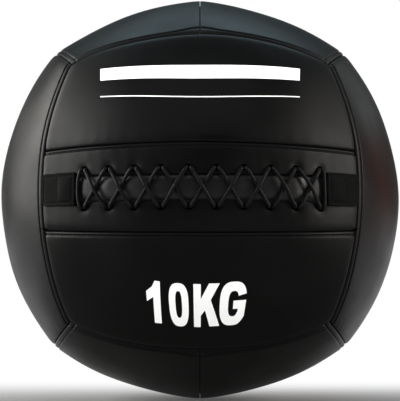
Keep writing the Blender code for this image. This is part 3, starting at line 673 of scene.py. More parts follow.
# %% Lines of a seamed edge
LEATHER_THICKNESS = 1.4 * MM
SEAM_SHOULDER = 1.6 * MM
SEAM_ALLOWANCE = 4 * MM
FACE_CHANNEL = 4.6 * MM
STRIP_CHANNEL = 2.9 * MM
CHANNEL_DEPTH = 0.9 * MM
CHANNEL_WIDTH = 0.75 * MM
DEEP_VALLEY = 0.9 * MM
WIDE_VALLEY = 2.5 * MM
SHALLOW_VALLEY = 0.2 * MM
FINE_SHOULDER = 0.8 * MM
VALLEY_REACH = 3 * MM
CORNER_PEAK = 4.2 * MM
CORNER_PEAK_REACH = 19 * MM
PANEL_CELL = 2.2 * MM


def rolled_lines(channel, shoulder=SEAM_SHOULDER):
    """Distances and depths at a sewn edge: hidden lip, quarter circle, close lines round the channel."""
    turn = np.linspace(0, np.pi / 2, 6)
    start = CLEARANCE / 2
    distance = np.concatenate([[start], start + shoulder * (1 - np.cos(turn))])
    depth = np.concatenate([[SEAM_ALLOWANCE], shoulder * (1 - np.sin(turn))])
    shoulder = distance[-1]
    before = channel - CHANNEL_WIDTH * 1.5
    flat = np.linspace(shoulder, before, 2 + int((before - shoulder) / MM))[1:-1] if before > shoulder else []
    across_channel = channel + CHANNEL_WIDTH * np.linspace(-1.5, 1.8, 12)
    across_channel = across_channel[across_channel > shoulder + CHANNEL_WIDTH / 4]
    after = channel + CHANNEL_WIDTH * np.array([2.8, 4.4, 6.6])
    rest = np.concatenate([flat, across_channel, after])
    return np.concatenate([distance, rest]), np.concatenate([depth, 0 * rest])


def hemmed_lines():
    """Distances and depths at the slit: a thin rounded edge, a quarter circle of the hem's radius."""
    turn = np.linspace(0, np.pi / 2, 7)
    beyond = HEM_RADIUS + PANEL_CELL * np.array([0.3, 0.8])
    distance = np.concatenate([[0.0], HEM_RADIUS * (1 - np.cos(turn)), beyond])
    depth = np.concatenate([[HEM_DEPTH], HEM_RADIUS * (1 - np.sin(turn)), [0.0, 0.0]])
    return distance, depth


def all_lines(near, far, width, cell):
    """Lines over a width: near edge's, even ones, far edge's, as distances, shares, depths and distances."""
    count = max(2, round((width - near[0][-1] - far[0][-1]) / cell))
    middle = np.arange(1, count) / count
    share = np.concatenate([0 * near[0], middle, 0 * far[0] + 1])
    from_near = np.concatenate([near[0], np.full(count - 1 + len(far[0]), near[0][-1])])
    from_far = np.concatenate([np.full(len(near[0]) + count - 1, far[0][-1]), far[0][::-1]])
    depth = np.concatenate([near[1], 0 * middle, far[1][::-1]])
    place = (1 - share) * from_near + share * (width - from_far)
    return from_near, from_far, share, depth, place, width - place

# %% Relief along a seam
PUCKER = 0.1 * MM
PUCKER_LENGTH = 13 * MM
PUCKER_REACH = 8 * MM


def edge_relief(distance, run, channel, valley, seed):
    """Depth near one seam: a slope down to it, a round channel if it has one, and fading sine puckers."""
    phase = np.random.default_rng(seed).uniform(0, 2 * np.pi, 2)
    drift = 1.4 * np.sin(run / PUCKER_LENGTH * 1.2 + phase[1])
    wave = np.sin(2 * np.pi * run / PUCKER_LENGTH + phase[0] + drift)
    start = np.clip((distance - SEAM_SHOULDER) / PUCKER_REACH * 3, 0, 1)
    relief = PUCKER * wave * np.exp(-distance / PUCKER_REACH) * start
    if valley == WIDE_VALLEY:
        relief = relief + valley * np.clip(1 - distance / channel, 0, 1) * (1 - (run / FACE_ARC) ** 6)
    else:
        relief = relief + valley * np.exp(-(distance / VALLEY_REACH) ** 1.5)
    if channel:
        relief = relief + CHANNEL_DEPTH * np.exp(-((distance - channel) / CHANNEL_WIDTH) ** 2)
    return relief

# %% One panel
PANEL_PASSES = 4


def panel_grid(low, high, channels, valleys, width, seed, hemmed=None):
    """Grid of a panel: shares between its seams are solved together with the distances off them.

    The edges are the two ends along, then the low and the high seam; the channel at an end peaks where
    it meets the seam in the middle of its face.
    """
    shoulders = [FINE_SHOULDER if valley == SHALLOW_VALLEY else SEAM_SHOULDER for valley in valleys]
    edges = [rolled_lines(channel or FACE_CHANNEL, shoulder)
             for channel, shoulder in zip(channels, shoulders)]
    if hemmed is not None:
        edges[hemmed] = hemmed_lines()
    along_lines = all_lines(edges[0], edges[1], 2 * FACE_ARC, PANEL_CELL)
    across_lines = all_lines(edges[2], edges[3], width, PANEL_CELL)
    a, b, s, along_depth, left, right = [x[None, :] for x in along_lines]
    c, d, t, across_depth, below, above = [x[:, None] for x in across_lines]
    along = 2 * s - 1 + 0 * t
    across = low(along) * (1 - t) + high(along) * t
    near_share = np.clip((a - SEAM_SHOULDER) / (FACE_CHANNEL - SEAM_SHOULDER), 0, 1) * bool(channels[0])
    far_share = np.clip((b - SEAM_SHOULDER) / (FACE_CHANNEL - SEAM_SHOULDER), 0, 1) * bool(channels[1])
    for _ in range(PANEL_PASSES):
        bottom = low(along)
        top = high(along)
        across = (1 - t) * (bottom + seam_step(c, bottom, along)) + t * (top - seam_step(d, top, along))
        peak = CORNER_PEAK * np.exp(-(across * FACE_ARC / CORNER_PEAK_REACH) ** 2)
        along = ((1 - s) * (-1 + seam_step(a + peak * near_share, 1, across))
                 + s * (1 - seam_step(b + peak * far_share, 1, across)))
    depth = np.maximum(along_depth, across_depth)
    distances = [left + 0 * t, right + 0 * t, below + 0 * s, above + 0 * s]
    runs = [across * FACE_ARC, across * FACE_ARC, along * FACE_ARC, along * FACE_ARC]
    for index, edge in enumerate(zip(distances, runs, channels, valleys)):
        depth = depth + edge_relief(*edge, seed * 4 + index)
    return along, across, np.minimum(depth, SEAM_ALLOWANCE), np.minimum.reduce(distances)


def thicken(piece, thickness, even=False):
    """Give a surface its thickness inwards, measured square to it where even is true."""
    wall = piece.modifiers.new("thickness", "SOLIDIFY")
    wall.thickness = thickness
    wall.offset = -1
    wall.use_even_offset = even


def add_panel(name, face, along, across, depth, distance):
    """Leather panel of a grid, with its thickness inwards."""
    points = shell(face, along, across, depth)
    piece = add_piece(name, points, grid_faces(*along.shape), leather, "panel_leather", name,
                      seam_distance=distance)
    thicken(piece, LEATHER_THICKNESS, even=True)
    return piece

# %% [markdown]
# The ten panels round the sides, the back, the top and the bottom are halves of a cube's face. The
# second row of stitches runs on the side panels along the front and the back, and on the top and bottom
# panels all round. The seam in the middle of such a face has none.

# %% Side, back, top and bottom panels
HALVES = {
    "back": ("back_lower_panel", "back_upper_panel"),
    "left": ("left_front_panel", "left_back_panel"),
    "right": ("right_back_panel", "right_front_panel"),
    "top": ("top_right_panel", "top_left_panel"),
    "bottom": ("bottom_left_panel", "bottom_right_panel"),
}
END_CHANNELS = {"back": (0, 0), "left": (0, 0), "right": (0, 0),
                "top": (FACE_CHANNEL, FACE_CHANNEL), "bottom": (FACE_CHANNEL, FACE_CHANNEL)}
SEAM_CHANNELS = {
    "back_lower_panel": (0, 0), "back_upper_panel": (0, 0),
    "left_front_panel": (FACE_CHANNEL, 0), "left_back_panel": (0, FACE_CHANNEL),
    "right_back_panel": (FACE_CHANNEL, 0), "right_front_panel": (0, FACE_CHANNEL),
    "top_right_panel": (FACE_CHANNEL, 0), "top_left_panel": (0, FACE_CHANNEL),
    "bottom_left_panel": (FACE_CHANNEL, 0), "bottom_right_panel": (0, FACE_CHANNEL),
}


def straight(share):
    """A seam that keeps one share all along a face."""
    return lambda along: share + 0 * along


panels = {}
for face, names in HALVES.items():
    for index, name in enumerate(names):
        low_share = index - 1.0
        channels = (*END_CHANNELS[face], *SEAM_CHANNELS[name])
        end_valley = WIDE_VALLEY if END_CHANNELS[face][0] else DEEP_VALLEY
        valleys = [end_valley, end_valley, DEEP_VALLEY, DEEP_VALLEY]
        valleys[3 - index] = SHALLOW_VALLEY
        made = panel_grid(straight(low_share), straight(low_share + 1), channels, valleys, FACE_ARC,
                          len(panels) + 1)
        panels[name] = (face, channels, *made)
        add_panel(name, face, *made)

# %% [markdown]
# The front face has four strips: two wide ones, and the two flaps of the lacing strip with their
# hemmed edges at the slit. Along the lacing strip the second row runs on the lower wide panel and on
# the upper flap. The lace pulls on the flaps, so the leather is drawn in round each hole.

# %% Wide front panels
for side, name in ((-1, "front_lower_panel"), (1, "front_upper_panel")):
    if side < 0:
        seams = (straight(-1), lambda along: -strip_share(along))
    else:
        seams = (strip_share, straight(1))
    channels = (0, 0, 0, STRIP_CHANNEL if side < 0 else 0)
    made = panel_grid(*seams, channels, [DEEP_VALLEY] * 4, FACE_ARC - STRIP_HALF_HEIGHT, 20 + side)
    panels[name] = ("front", channels, *made)
    add_panel(name, "front", *made)

# %% Leather drawn in at the holes
HOLE_DRAW = 1.2 * MM
HOLE_DRAW_REACH = 3.4 * MM


def hole_draw(along, across):
    """Depth that the lace draws in: a bell curve round each hole, in arc lengths."""
    height = across / height_share(HOLE_HEIGHT, along) * HOLE_HEIGHT
    near_row = np.abs(height) - HOLE_HEIGHT
    nearest = np.clip(np.round((along * FACE_ARC - FIRST_HOLE) / HOLE_PITCH), 0, HOLE_PAIRS - 1)
    sideways = along * FACE_ARC - FIRST_HOLE - nearest * HOLE_PITCH
    return HOLE_DRAW * np.exp(-(sideways ** 2 + near_row ** 2) / HOLE_DRAW_REACH ** 2)

# %% Punches for the holes
PUNCH_SIDES = 28
PUNCH_REACH = 8 * MM
SHARP_ANGLE = math.radians(50)


def add_punches(side):
    """Ten oval prisms through a row of holes, in one hidden mesh."""
    turn = full_turn(PUNCH_SIDES)
    points = []
    faces = []
    for pair in range(HOLE_PAIRS):
        centre, right, up, outward = lacing_frame(hole_share(pair), side * HOLE_HEIGHT)
        ring = (np.cos(turn)[:, None] * right * HOLE_WIDTH / 2
                + np.sin(turn)[:, None] * up * HOLE_TALLNESS / 2)
        reach = outward * PUNCH_REACH
        first = len(points) * 2 * PUNCH_SIDES
        points.append(np.stack([centre + ring - reach, centre + ring + reach]))
        lower = first + np.arange(PUNCH_SIDES)
        faces += [lower[::-1].tolist(), (lower + PUNCH_SIDES).tolist()]
        faces += (grid_faces(2, PUNCH_SIDES, round_rows=True) + first).tolist()
    mesh = bpy.data.meshes.new("punches")
    mesh.from_pydata(np.concatenate(points).reshape(-1, 3).tolist(), [], faces)
    return bpy.data.objects.new("punches", mesh)


punches = {side: add_punches(side) for side in (-1, 1)}

# %% Applying the cut
def keep_result(piece):
    """Make what the modifiers give the piece's own mesh, with sharp edges past an angle."""
    graph = bpy.context.evaluated_depsgraph_get()
    made = bpy.data.meshes.new_from_object(piece.evaluated_get(graph), depsgraph=graph)
    made.set_sharp_from_angle(angle=SHARP_ANGLE)
    piece.modifiers.clear()
    piece.data = made


def cut_from(piece, cutter):
    """Take a cutter's space out of a piece and keep the result as its mesh."""
    objects = bpy.context.scene.collection.objects
    objects.link(cutter)
    cut = piece.modifiers.new("cut", "BOOLEAN")
    cut.object = cutter
    cut.operation = "DIFFERENCE"
    cut.solver = "EXACT"
    keep_result(piece)
    objects.unlink(cutter)
    print(piece.name, "cut to", len(piece.data.polygons), "faces")

# %% Flaps of the lacing strip
for side, name in ((-1, "lacing_flap_lower"), (1, "lacing_flap_upper")):
    if side < 0:
        seams = (lambda along: -strip_share(along), lambda along: -slit_share(along))
    else:
        seams = (slit_share, strip_share)
    channels = (0, 0, 0, STRIP_CHANNEL if side > 0 else 0)
    hemmed = 2 if side > 0 else 3
    valleys = [0 if edge == hemmed else DEEP_VALLEY for edge in range(4)]
    along, across, depth, distance = panel_grid(*seams, channels, valleys,
                                                STRIP_HALF_HEIGHT - SLIT_HALF_HEIGHT, 30 + side, hemmed)
    depth = depth + hole_draw(along, across)
    panels[name] = ("front", channels, along, across, depth, distance)
    flap = add_panel(name, "front", along, across, depth, distance)
    cut_from(flap, punches[side])

# %% [markdown]
# ## Behind the slit
# A tongue of glossier leather lies behind the slit, so the filling can't be seen, and it swells out
# into the diamonds that the lace leaves free. Behind each row of holes a strip of webbing keeps the
# lace from tearing the leather; the same punches go through it.

# %% Tongue
TONGUE_HALF_HEIGHT = 11.6 * MM
TONGUE_BULGE = 1.5 * MM
TONGUE_PUFF = 0.5 * MM
TONGUE_CREASE = 0.05 * MM
TONGUE_END_GAP = 7 * MM
TONGUE_CELL = 0.8 * MM


def evenly(low, high, cell):
    """Even values from low to high, about a cell apart."""
    return np.linspace(low, high, round((high - low) / cell) + 1)


def lacing_slab(name, along, height, outer, thickness, *finish):
    """Slab on the lacing strip, over a row of shares and a column of heights, from its outer depth in."""
    across = height_share(height, along)
    flat = np.stack(np.broadcast_arrays(along * FACE_ARC, height), axis=-1)
    sides = [shell("front", along, across, depth) for depth in (outer, outer + thickness)]
    return add_slab(name, *sides, *finish, uv=flat, seam_distance=np.ones(2 * flat[..., 0].size))


tongue_leather = leather.copy()
tongue_leather.name = "glossy polyurethane leather"
shader = next(node for node in tongue_leather.node_tree.nodes if node.type == "BSDF_PRINCIPLED")
shader.inputs["Specular IOR Level"].default_value = 0.38

end = 1 - TONGUE_END_GAP / FACE_ARC
along = evenly(-end, end, TONGUE_CELL / FACE_ARC)[None, :]
height = evenly(-TONGUE_HALF_HEIGHT, TONGUE_HALF_HEIGHT, TONGUE_CELL)[:, None]
pairs_off = (along * FACE_ARC - FIRST_HOLE) / HOLE_PITCH
pairs_off = pairs_off - np.clip(np.round(pairs_off), 0, HOLE_PAIRS - 1)
open_share = np.clip(1 - (height / SLIT_HALF_HEIGHT) ** 4, 0, 1)
puff = np.cos(np.pi * np.clip(pairs_off, -0.5, 0.5)) ** 2
spot = np.stack(np.broadcast_arrays(along * FACE_ARC, 0 * along, height), axis=-1)
crease = TONGUE_CREASE * waves(spot, (5 * MM, 15 * MM), count=9, seed=41)
outer = UNDER_FLAP_DEPTH - (TONGUE_BULGE + TONGUE_PUFF * puff + crease) * open_share
lacing_slab("tongue_leather_strip", along, height, outer, TONGUE_THICKNESS, tongue_leather, "tongue_leather",
            "lacing_tongue")

# %% [markdown]
# Webbing is woven from thick nylon yarn, so its surface is a plain weave with picks over a millimetre
# wide, and its yarns are bundles of fine, slightly shiny filaments.

# %% Webbing finish
DRIFT_FIBRES = 60


def yarn_material(name, dark, light, size, roughness, depth, uv=True):
    """Fabric of fine fibres: two tones of noise, a slow drift of colour, sheen and a fibre bump."""
    made, tree, shader = new_material(name)
    place = add_node(tree, "ShaderNodeTexCoord").outputs["UV" if uv else "Object"]
    fibre = add_node(tree, "ShaderNodeTexNoise", {"Vector": place, "Scale": per_size(size), "Detail": 5.0,
                                                  "Roughness": 0.65})
    drift = add_node(tree, "ShaderNodeTexNoise", {"Vector": place, "Scale": per_size(DRIFT_FIBRES * size),
                                                  "Detail": 3.0})
    both = add_node(tree, "ShaderNodeMath", {0: fibre.outputs["Fac"], 1: drift.outputs["Fac"]},
                    operation="MULTIPLY")
    both = add_node(tree, "ShaderNodeMapRange", {"Value": both.outputs[0], "From Min": 0.12, "From Max": 0.4})
    tone = add_node(tree, "ShaderNodeMix", {"Factor": both.outputs["Result"], "A": linear(dark),
                                            "B": linear(light)}, data_type="RGBA")
    bump = add_node(tree, "ShaderNodeBump", {"Height": fibre.outputs["Fac"], "Strength": 0.7,
                                             "Distance": depth})
    set_inputs(tree, shader, {
        "Base Color": tone.outputs["Result"], "Normal": bump.outputs["Normal"], "Roughness": roughness,
        "Specular IOR Level": 0.05, "Sheen Weight": 0.01, "Sheen Roughness": 0.5})
    return made


webbing = yarn_material("black nylon webbing", "#020202", "#080808", size=0.35 * MM, roughness=0.75,
                        depth=0.06 * MM)

# %% Backing of the holes
BACKING_HEIGHT = 11 * MM
BACKING_THICKNESS = 1 * MM
BACKING_OVERHANG = 7 * MM
BACKING_CELL = 0.55 * MM
YARN = 1.3 * MM
YARN_RELIEF = 0.14 * MM

first = hole_share(0) - BACKING_OVERHANG / FACE_ARC
final = hole_share(HOLE_PAIRS - 1) + BACKING_OVERHANG / FACE_ARC
for side, name in ((-1, "hole_backing_lower"), (1, "hole_backing_upper")):
    start = TONGUE_HALF_HEIGHT + CLEARANCE
    height = np.sort(side * evenly(start, start + BACKING_HEIGHT, BACKING_CELL))[:, None]
    along = evenly(first, final, BACKING_CELL / FACE_ARC)[None, :]
    relief = YARN_RELIEF * (1 - weave(along * FACE_ARC / YARN, height / YARN))
    drawn = hole_draw(along, height_share(height, along))
    outer = UNDER_FLAP_DEPTH + drawn + relief
    strip = lacing_slab(name + "_webbing", along, height, outer, BACKING_THICKNESS - relief, webbing,
                        "backing_webbing", name)
    cut_from(strip, punches[side])

# %% [markdown]
# ## End tabs
# At each end of the slit a strip of webbing starts at the side seam, runs to the lace and folds back
# on itself, so it is double near the lace and single at the seam. Rows of stitches fasten it down, and
# between them the doubled part puffs up a little. It is swept: a path of running length and height off
# the leather, with the thickness to both sides.

# %% Tabs
TAB_HEIGHT = 26 * MM
TAB_THICKNESS = 1.8 * MM
TAB_FOLD_LENGTH = 18 * MM
TAB_SEAM_GAP = 2.2 * MM
TAB_CORNER = 4.5 * MM
TAB_CELL = 0.42 * MM
TAB_EDGE = 0.5 * MM
TAB_ROW = 2.6 * MM
TAB_PRESS = 0.35 * MM
TAB_PRESS_WIDTH = 0.9 * MM
TAB_PUFF = 1.2 * MM
TAB_WOVEN_SHARE = 0.94
TABS = (("left", -1, TAB_LENGTH_LEFT), ("right", 1, TAB_LENGTH_RIGHT))


def tab_path(length):
    """Distance from the front's middle and height off the leather: in along the leather, round, and back."""
    inner_end = FACE_ARC - length
    low = CLEARANCE + TAB_THICKNESS / 2
    turn_at = inner_end + TAB_THICKNESS
    turn = np.linspace(-np.pi / 2, np.pi / 2, 9)[1:-1]
    there = evenly(FACE_ARC - TAB_SEAM_GAP, turn_at, -TAB_CELL)
    back = evenly(turn_at, inner_end + TAB_FOLD_LENGTH, TAB_CELL)
    place = np.concatenate([there, turn_at - TAB_THICKNESS / 2 * np.cos(turn), back])
    climb = low + TAB_THICKNESS / 2 * (1 + np.sin(turn))
    lift = np.concatenate([0 * there + low, climb, 0 * back + low + TAB_THICKNESS])
    return place, lift


def rounded(distance, radius):
    """Drop at a rounded edge, a quarter circle of the radius, and nothing further in."""
    return radius * (1 - np.sqrt(1 - np.clip(1 - distance / radius, 0, 1) ** 2))


def add_tab(name, side, length):
    """Folded strip: half its thickness is laid off the path, less at its edges, cut ends and sewn rows."""
    place, lift = tab_path(length)
    inner_end = FACE_ARC - length
    run = np.concatenate([[0], np.cumsum(np.hypot(np.diff(place), np.diff(lift)))])
    slope = np.stack([np.gradient(place, run), np.gradient(lift, run)])
    slope /= np.hypot(*slope)
    row = evenly(-1, 1, 2 * TAB_CELL / TAB_HEIGHT)[:, None]
    corner = rounded(run[None, :], TAB_CORNER)
    half = np.where(row < 0, TAB_HEIGHT / 2 - corner, TAB_HEIGHT / 2 - corner / 3)
    height = row * half
    edge = np.minimum(TAB_HEIGHT / 2 * (1 - np.abs(row)), np.minimum(run, run[-1] - run)[None, :])
    picks = weave(run[None, :] / YARN, height / YARN)
    to_fold_rows = np.minimum(np.abs(place - inner_end - TAB_ROW),
                              np.abs(place - inner_end - TAB_FOLD_LENGTH + TAB_ROW / 2))
    to_seam_row = np.abs(place - FACE_ARC + TAB_SEAM_GAP + TAB_ROW)
    folded = lift > CLEARANCE + TAB_THICKNESS
    to_row = np.where(folded, to_fold_rows, to_seam_row)
    to_row = np.minimum(to_row[None, :], np.abs(np.abs(height) - TAB_HEIGHT / 2 + TAB_ROW))
    thick = TAB_THICKNESS * TAB_WOVEN_SHARE / 2 - rounded(edge, TAB_EDGE) - YARN_RELIEF * (1 - picks)
    thick = thick - TAB_PRESS * np.exp(-(to_row / TAB_PRESS_WIDTH) ** 2)
    between_rows = np.clip((place - inner_end - TAB_ROW) / (TAB_FOLD_LENGTH - 1.5 * TAB_ROW), 0, 1)
    puff = TAB_PUFF * np.sin(np.pi * between_rows) * folded
    puff = puff * np.clip(1 - (height / (TAB_HEIGHT / 2 - TAB_ROW)) ** 2, 0, 1)
    grids = []
    for offset in (thick, -thick):
        along = side * (place - slope[1] * offset) / FACE_ARC
        grids.append((along, -(lift + slope[0] * offset) - puff))
    made = [shell("front", along, height_share(height, along), depth) for along, depth in grids]
    flat = np.stack(np.broadcast_arrays(run[None, :], height), axis=-1)
    if side < 0:
        made = made[::-1]
    add_slab(name, *made, webbing, "tab_webbing", name.removesuffix("_webbing"), uv=flat)


for word, side, length in TABS:
    add_tab(f"end_tab_{word}_webbing", side, length)

# %% [markdown]
# ## Stitches
# The second row beside a seam is lockstitch in bonded black thread, about six stitches to 25 mm. Each
# stitch is a short bead that dips into the leather at both ends. The bead is worked out once, round
# its middle line, and set at every place of the row by one sum over arrays.

# %% Thread finish
THREAD_TWIST = 0.5 * MM
THREAD_TWIST_HEIGHT = 0.08 * MM

thread, tree, shader = new_material("bonded polyester thread")
place = add_node(tree, "ShaderNodeTexCoord").outputs["Object"]
twist = add_node(tree, "ShaderNodeTexNoise", {"Vector": place, "Scale": per_size(THREAD_TWIST),
                                              "Detail": 2.0})
tone = add_node(tree, "ShaderNodeMix", {"Factor": twist.outputs["Fac"], "A": linear("#030303"),
                                        "B": linear("#0b0b0c")}, data_type="RGBA")
bump = add_node(tree, "ShaderNodeBump", {"Height": twist.outputs["Fac"], "Strength": 0.5,
                                         "Distance": THREAD_TWIST_HEIGHT})
set_inputs(tree, shader, {"Base Color": tone.outputs["Result"], "Normal": bump.outputs["Normal"],
                          "Roughness": 0.75, "Specular IOR Level": 0.06})

# %% Rows of stitches
STITCH_PITCH = 4.2 * MM
STITCH_LENGTH = 3.5 * MM
THREAD_WIDTH = 0.75 * MM
STITCH_DIP = 0.45 * MM
BEAD_RINGS = 6
BEAD_SIDES = 6


def bead_row(starts, ends, outward):
    """Beads between pairs of points: thread radius times a half-circle profile, bent inwards at the ends."""
    ring = np.linspace(0, np.pi, BEAD_RINGS)
    turn = full_turn(BEAD_SIDES)[None, :, None]
    run = ends - starts
    length = np.linalg.norm(run, axis=1, keepdims=True)
    run = run / length
    side = np.cross(run, outward)
    middle = (starts + ends) / 2
    sink = -STITCH_DIP * np.cos(ring) ** 2
    radius = THREAD_WIDTH / 2 * np.maximum(np.sin(ring), 0.05) ** 0.6
    middle, run, length, side, outward, ring, sink, radius = [
        values[:, None, None] for values in (middle, run, length, side, outward, ring, sink, radius)]
    points = (middle - run * (np.cos(ring) * length / 2) + outward * (sink + radius * np.cos(turn))
              + side * (radius * np.sin(turn)))
    one = grid_faces(BEAD_RINGS, BEAD_SIDES, round_rows=True)
    first = np.arange(len(starts))[:, None, None] * (BEAD_RINGS * BEAD_SIDES)
    walls = (one[None] + first).reshape(-1, 4).tolist()
    cap = np.arange(BEAD_SIDES)
    ends_near = (cap[None, ::-1] + first[:, 0]).tolist()
    ends_far = (cap[None] + (BEAD_RINGS - 1) * BEAD_SIDES + first[:, 0]).tolist()
    return points.reshape(-1, 3), walls + ends_near + ends_far


def surface_line(face, along, across, depth):
    """Points on a line of the shell and the outward directions there."""
    point = shell(face, along, across, depth)
    step = CLEARANCE / FACE_ARC
    right = shell(face, along + step, across, depth) - point
    up = shell(face, along, across + step, depth) - point
    outward = np.cross(right, up)
    return point, outward / np.linalg.norm(outward, axis=-1, keepdims=True)


def even_line(face, along, across, depth, spacing):
    """Spots at even steps of length on a line of the shell, found by its running length."""
    point, outward = surface_line(face, along, across, depth)
    travelled = running_length(point)
    count = int(travelled[-1] / spacing)
    wanted = (np.arange(count) + 0.5) * travelled[-1] / count
    facing = read_along(outward, travelled, wanted)
    heading = read_along(np.gradient(point, travelled, axis=0), travelled, wanted)
    facing /= np.linalg.norm(facing, axis=1, keepdims=True)
    heading /= np.linalg.norm(heading, axis=1, keepdims=True)
    return read_along(point, travelled, wanted), facing, heading


def stitch_run(face, along, across, depth):
    """Beads of one row on a line of the shell."""
    spots, outward, heading = even_line(face, along, across, depth, STITCH_PITCH)
    half = heading * STITCH_LENGTH / 2
    return bead_row(spots - half, spots + half, outward)


def add_stitches(name, rows, slot):
    """Several rows of beads as one piece."""
    points = []
    faces = []
    for row_points, row_faces in rows:
        first = sum(len(x) for x in points)
        faces += [[corner + first for corner in face] for face in row_faces]
        points.append(row_points)
    add_piece(name, np.concatenate(points), faces, thread, slot)

# %% Stitches of every panel
for name, (face, channels, along, across, depth, distance) in panels.items():
    rows = []
    for edge, channel in enumerate(channels):
        if not channel:
            continue
        line = int(np.argmin(np.abs(rolled_lines(channel)[0] - channel)))
        place = line if edge % 2 == 0 else -1 - line
        pick = (slice(None), place) if edge < 2 else (place, slice(None))
        inner = slice(line, -line)
        rows.append(stitch_run(face, *[grid[pick][inner] for grid in (along, across, depth)]))
    if rows:
        add_stitches(f"stitches_{name}", rows, "panel_leather")

# %% Stitches of the tabs
for word, side, length in TABS:
    inner_end = FACE_ARC - length
    high = TAB_PRESS - (CLEARANCE + (1 + TAB_WOVEN_SHARE) * TAB_THICKNESS)
    low = TAB_PRESS - (CLEARANCE + TAB_WOVEN_SHARE * TAB_THICKNESS)
    top = TAB_HEIGHT / 2 - TAB_ROW
    corners = [inner_end + TAB_ROW, inner_end + TAB_FOLD_LENGTH - TAB_ROW / 2]
    start, end = inner_end + TAB_FOLD_LENGTH + TAB_ROW, FACE_ARC - TAB_SEAM_GAP - TAB_ROW
    lines = [(corners, (top, top), high), (corners, (-top, -top), high),
             ((corners[0],) * 2, (-top, top), high), ((corners[1],) * 2, (-top, top), high),
             ((start, end), (top, top), low), ((start, end), (-top, -top), low),
             ((end, end), (-top, top), low)]
    rows = []
    for (place_a, place_b), (height_a, height_b), depth in lines:
        share = np.linspace(0, 1, 30)
        along = side * (place_a + (place_b - place_a) * share) / FACE_ARC
        across = height_share(height_a + (height_b - height_a) * share, along)
        rows.append(stitch_run("front", along, across, depth + 0 * share))
    add_stitches(f"stitches_tab_{word}", rows, "tab_webbing")

# %% [markdown]
# ## Print
# The weight is printed in white ink on the lower front panel, and a plain bar with a thin line marks
# the upper one. Ink laid on leather by a screen is a film a tenth of a millimetre thick. Each shape is
# an outline in millimetres on the flat panel, filled with small triangles so that it follows the ball.

# %% Ink finish
INK_MOTTLE = 3 * MM
INK_PORE_HEIGHT = 0.05 * MM

ink, tree, shader = new_material("white screen ink")
place = add_node(tree, "ShaderNodeTexCoord").outputs["Object"]
mottle = add_node(tree, "ShaderNodeTexNoise", {"Vector": place, "Scale": per_size(INK_MOTTLE), "Detail": 5.0})
pore = add_node(tree, "ShaderNodeTexVoronoi", {"Vector": place, "Scale": per_size(GRAIN)},
                feature="SMOOTH_F1")
tone = add_node(tree, "ShaderNodeMix", {"Factor": mottle.outputs["Fac"], "A": linear("#f8f8f7"),
                                        "B": linear("#ffffff")}, data_type="RGBA")
bump = add_node(tree, "ShaderNodeBump", {"Height": pore.outputs["Distance"], "Strength": 0.25,
                                         "Distance": INK_PORE_HEIGHT})
set_inputs(tree, shader, {"Base Color": tone.outputs["Result"], "Normal": bump.outputs["Normal"],
                          "Roughness": 0.5, "Specular IOR Level": 0.3})

# %% Filled outlines
INK_THICKNESS = 0.1 * MM
INK_GAP = 0.05 * MM
INK_CELL = 2.0
INSIDE_OUTLINES = 1
MERGED_SPOTS = 1e-5


def dense(loop):
    """A closed outline with points no further apart than a cell."""
    loop = np.array(loop, float)
    after = np.roll(loop, -1, axis=0)
    count = np.maximum(1, np.ceil(np.linalg.norm(after - loop, axis=1) / INK_CELL)).astype(int)
    sides = [start + (end - start) * np.arange(n)[:, None] / n for start, end, n in zip(loop, after, count)]
    return np.concatenate(sides)


def is_inside(spots, loops):
    """Even-odd rule: a spot is inside if a line to its right crosses the outlines an odd number of times."""
    crossings = np.zeros(len(spots), int)
    for loop in loops:
        x1, y1 = loop.T
        x2, y2 = np.roll(loop, -1, axis=0).T
        x, y = spots[:, :1], spots[:, 1:]
        spans = (y1 > y) != (y2 > y)
        with np.errstate(divide="ignore", invalid="ignore"):
            at = x1 + (y - y1) / (y2 - y1) * (x2 - x1)
        crossings += (spans & (x < at)).sum(axis=1)
    return crossings % 2 == 1


def add_print(name, loops):
    """Ink film of outlines given in mm along and across the front face from its middle."""
    loops = [dense(loop) for loop in loops]
    rim = np.concatenate(loops)
    low, high = rim.min(axis=0), rim.max(axis=0)
    x, y = np.meshgrid(*[np.arange(low[i] + INK_CELL / 2, high[i], INK_CELL) for i in (0, 1)])
    free = np.stack([x.ravel(), y.ravel()], axis=1)
    off = np.linalg.norm(free[:, None] - rim[None], axis=2).min(axis=1)
    free = free[is_inside(free, loops) & (off > INK_CELL * 0.45)]
    edges = []
    first = 0
    for loop in loops:
        number = np.arange(len(loop)) + first
        edges += np.stack([number, np.roll(number, -1)], axis=1).tolist()
        first += len(loop)
    corners = [Vector(spot) for spot in np.concatenate([rim, free])]
    spots, _, faces, *_ = delaunay_2d_cdt(corners, edges, [], INSIDE_OUTLINES, MERGED_SPOTS)
    spots = np.array(spots)
    faces = np.array(faces)
    faces = faces[is_inside(spots[faces].mean(axis=1), loops)]
    along, across = spots.T * MM / FACE_ARC
    points = shell("front", along, across, -INK_THICKNESS - INK_GAP)
    piece = add_piece(name, points, faces.tolist(), ink, "panel_leather")
    thicken(piece, INK_THICKNESS)
    keep_result(piece)

# %% [markdown]
# The weight mark is in plain heavy block letters, drawn as polygons. One function swaps each corner for
# a short curve, and another draws the bowed outlines of the round letters.

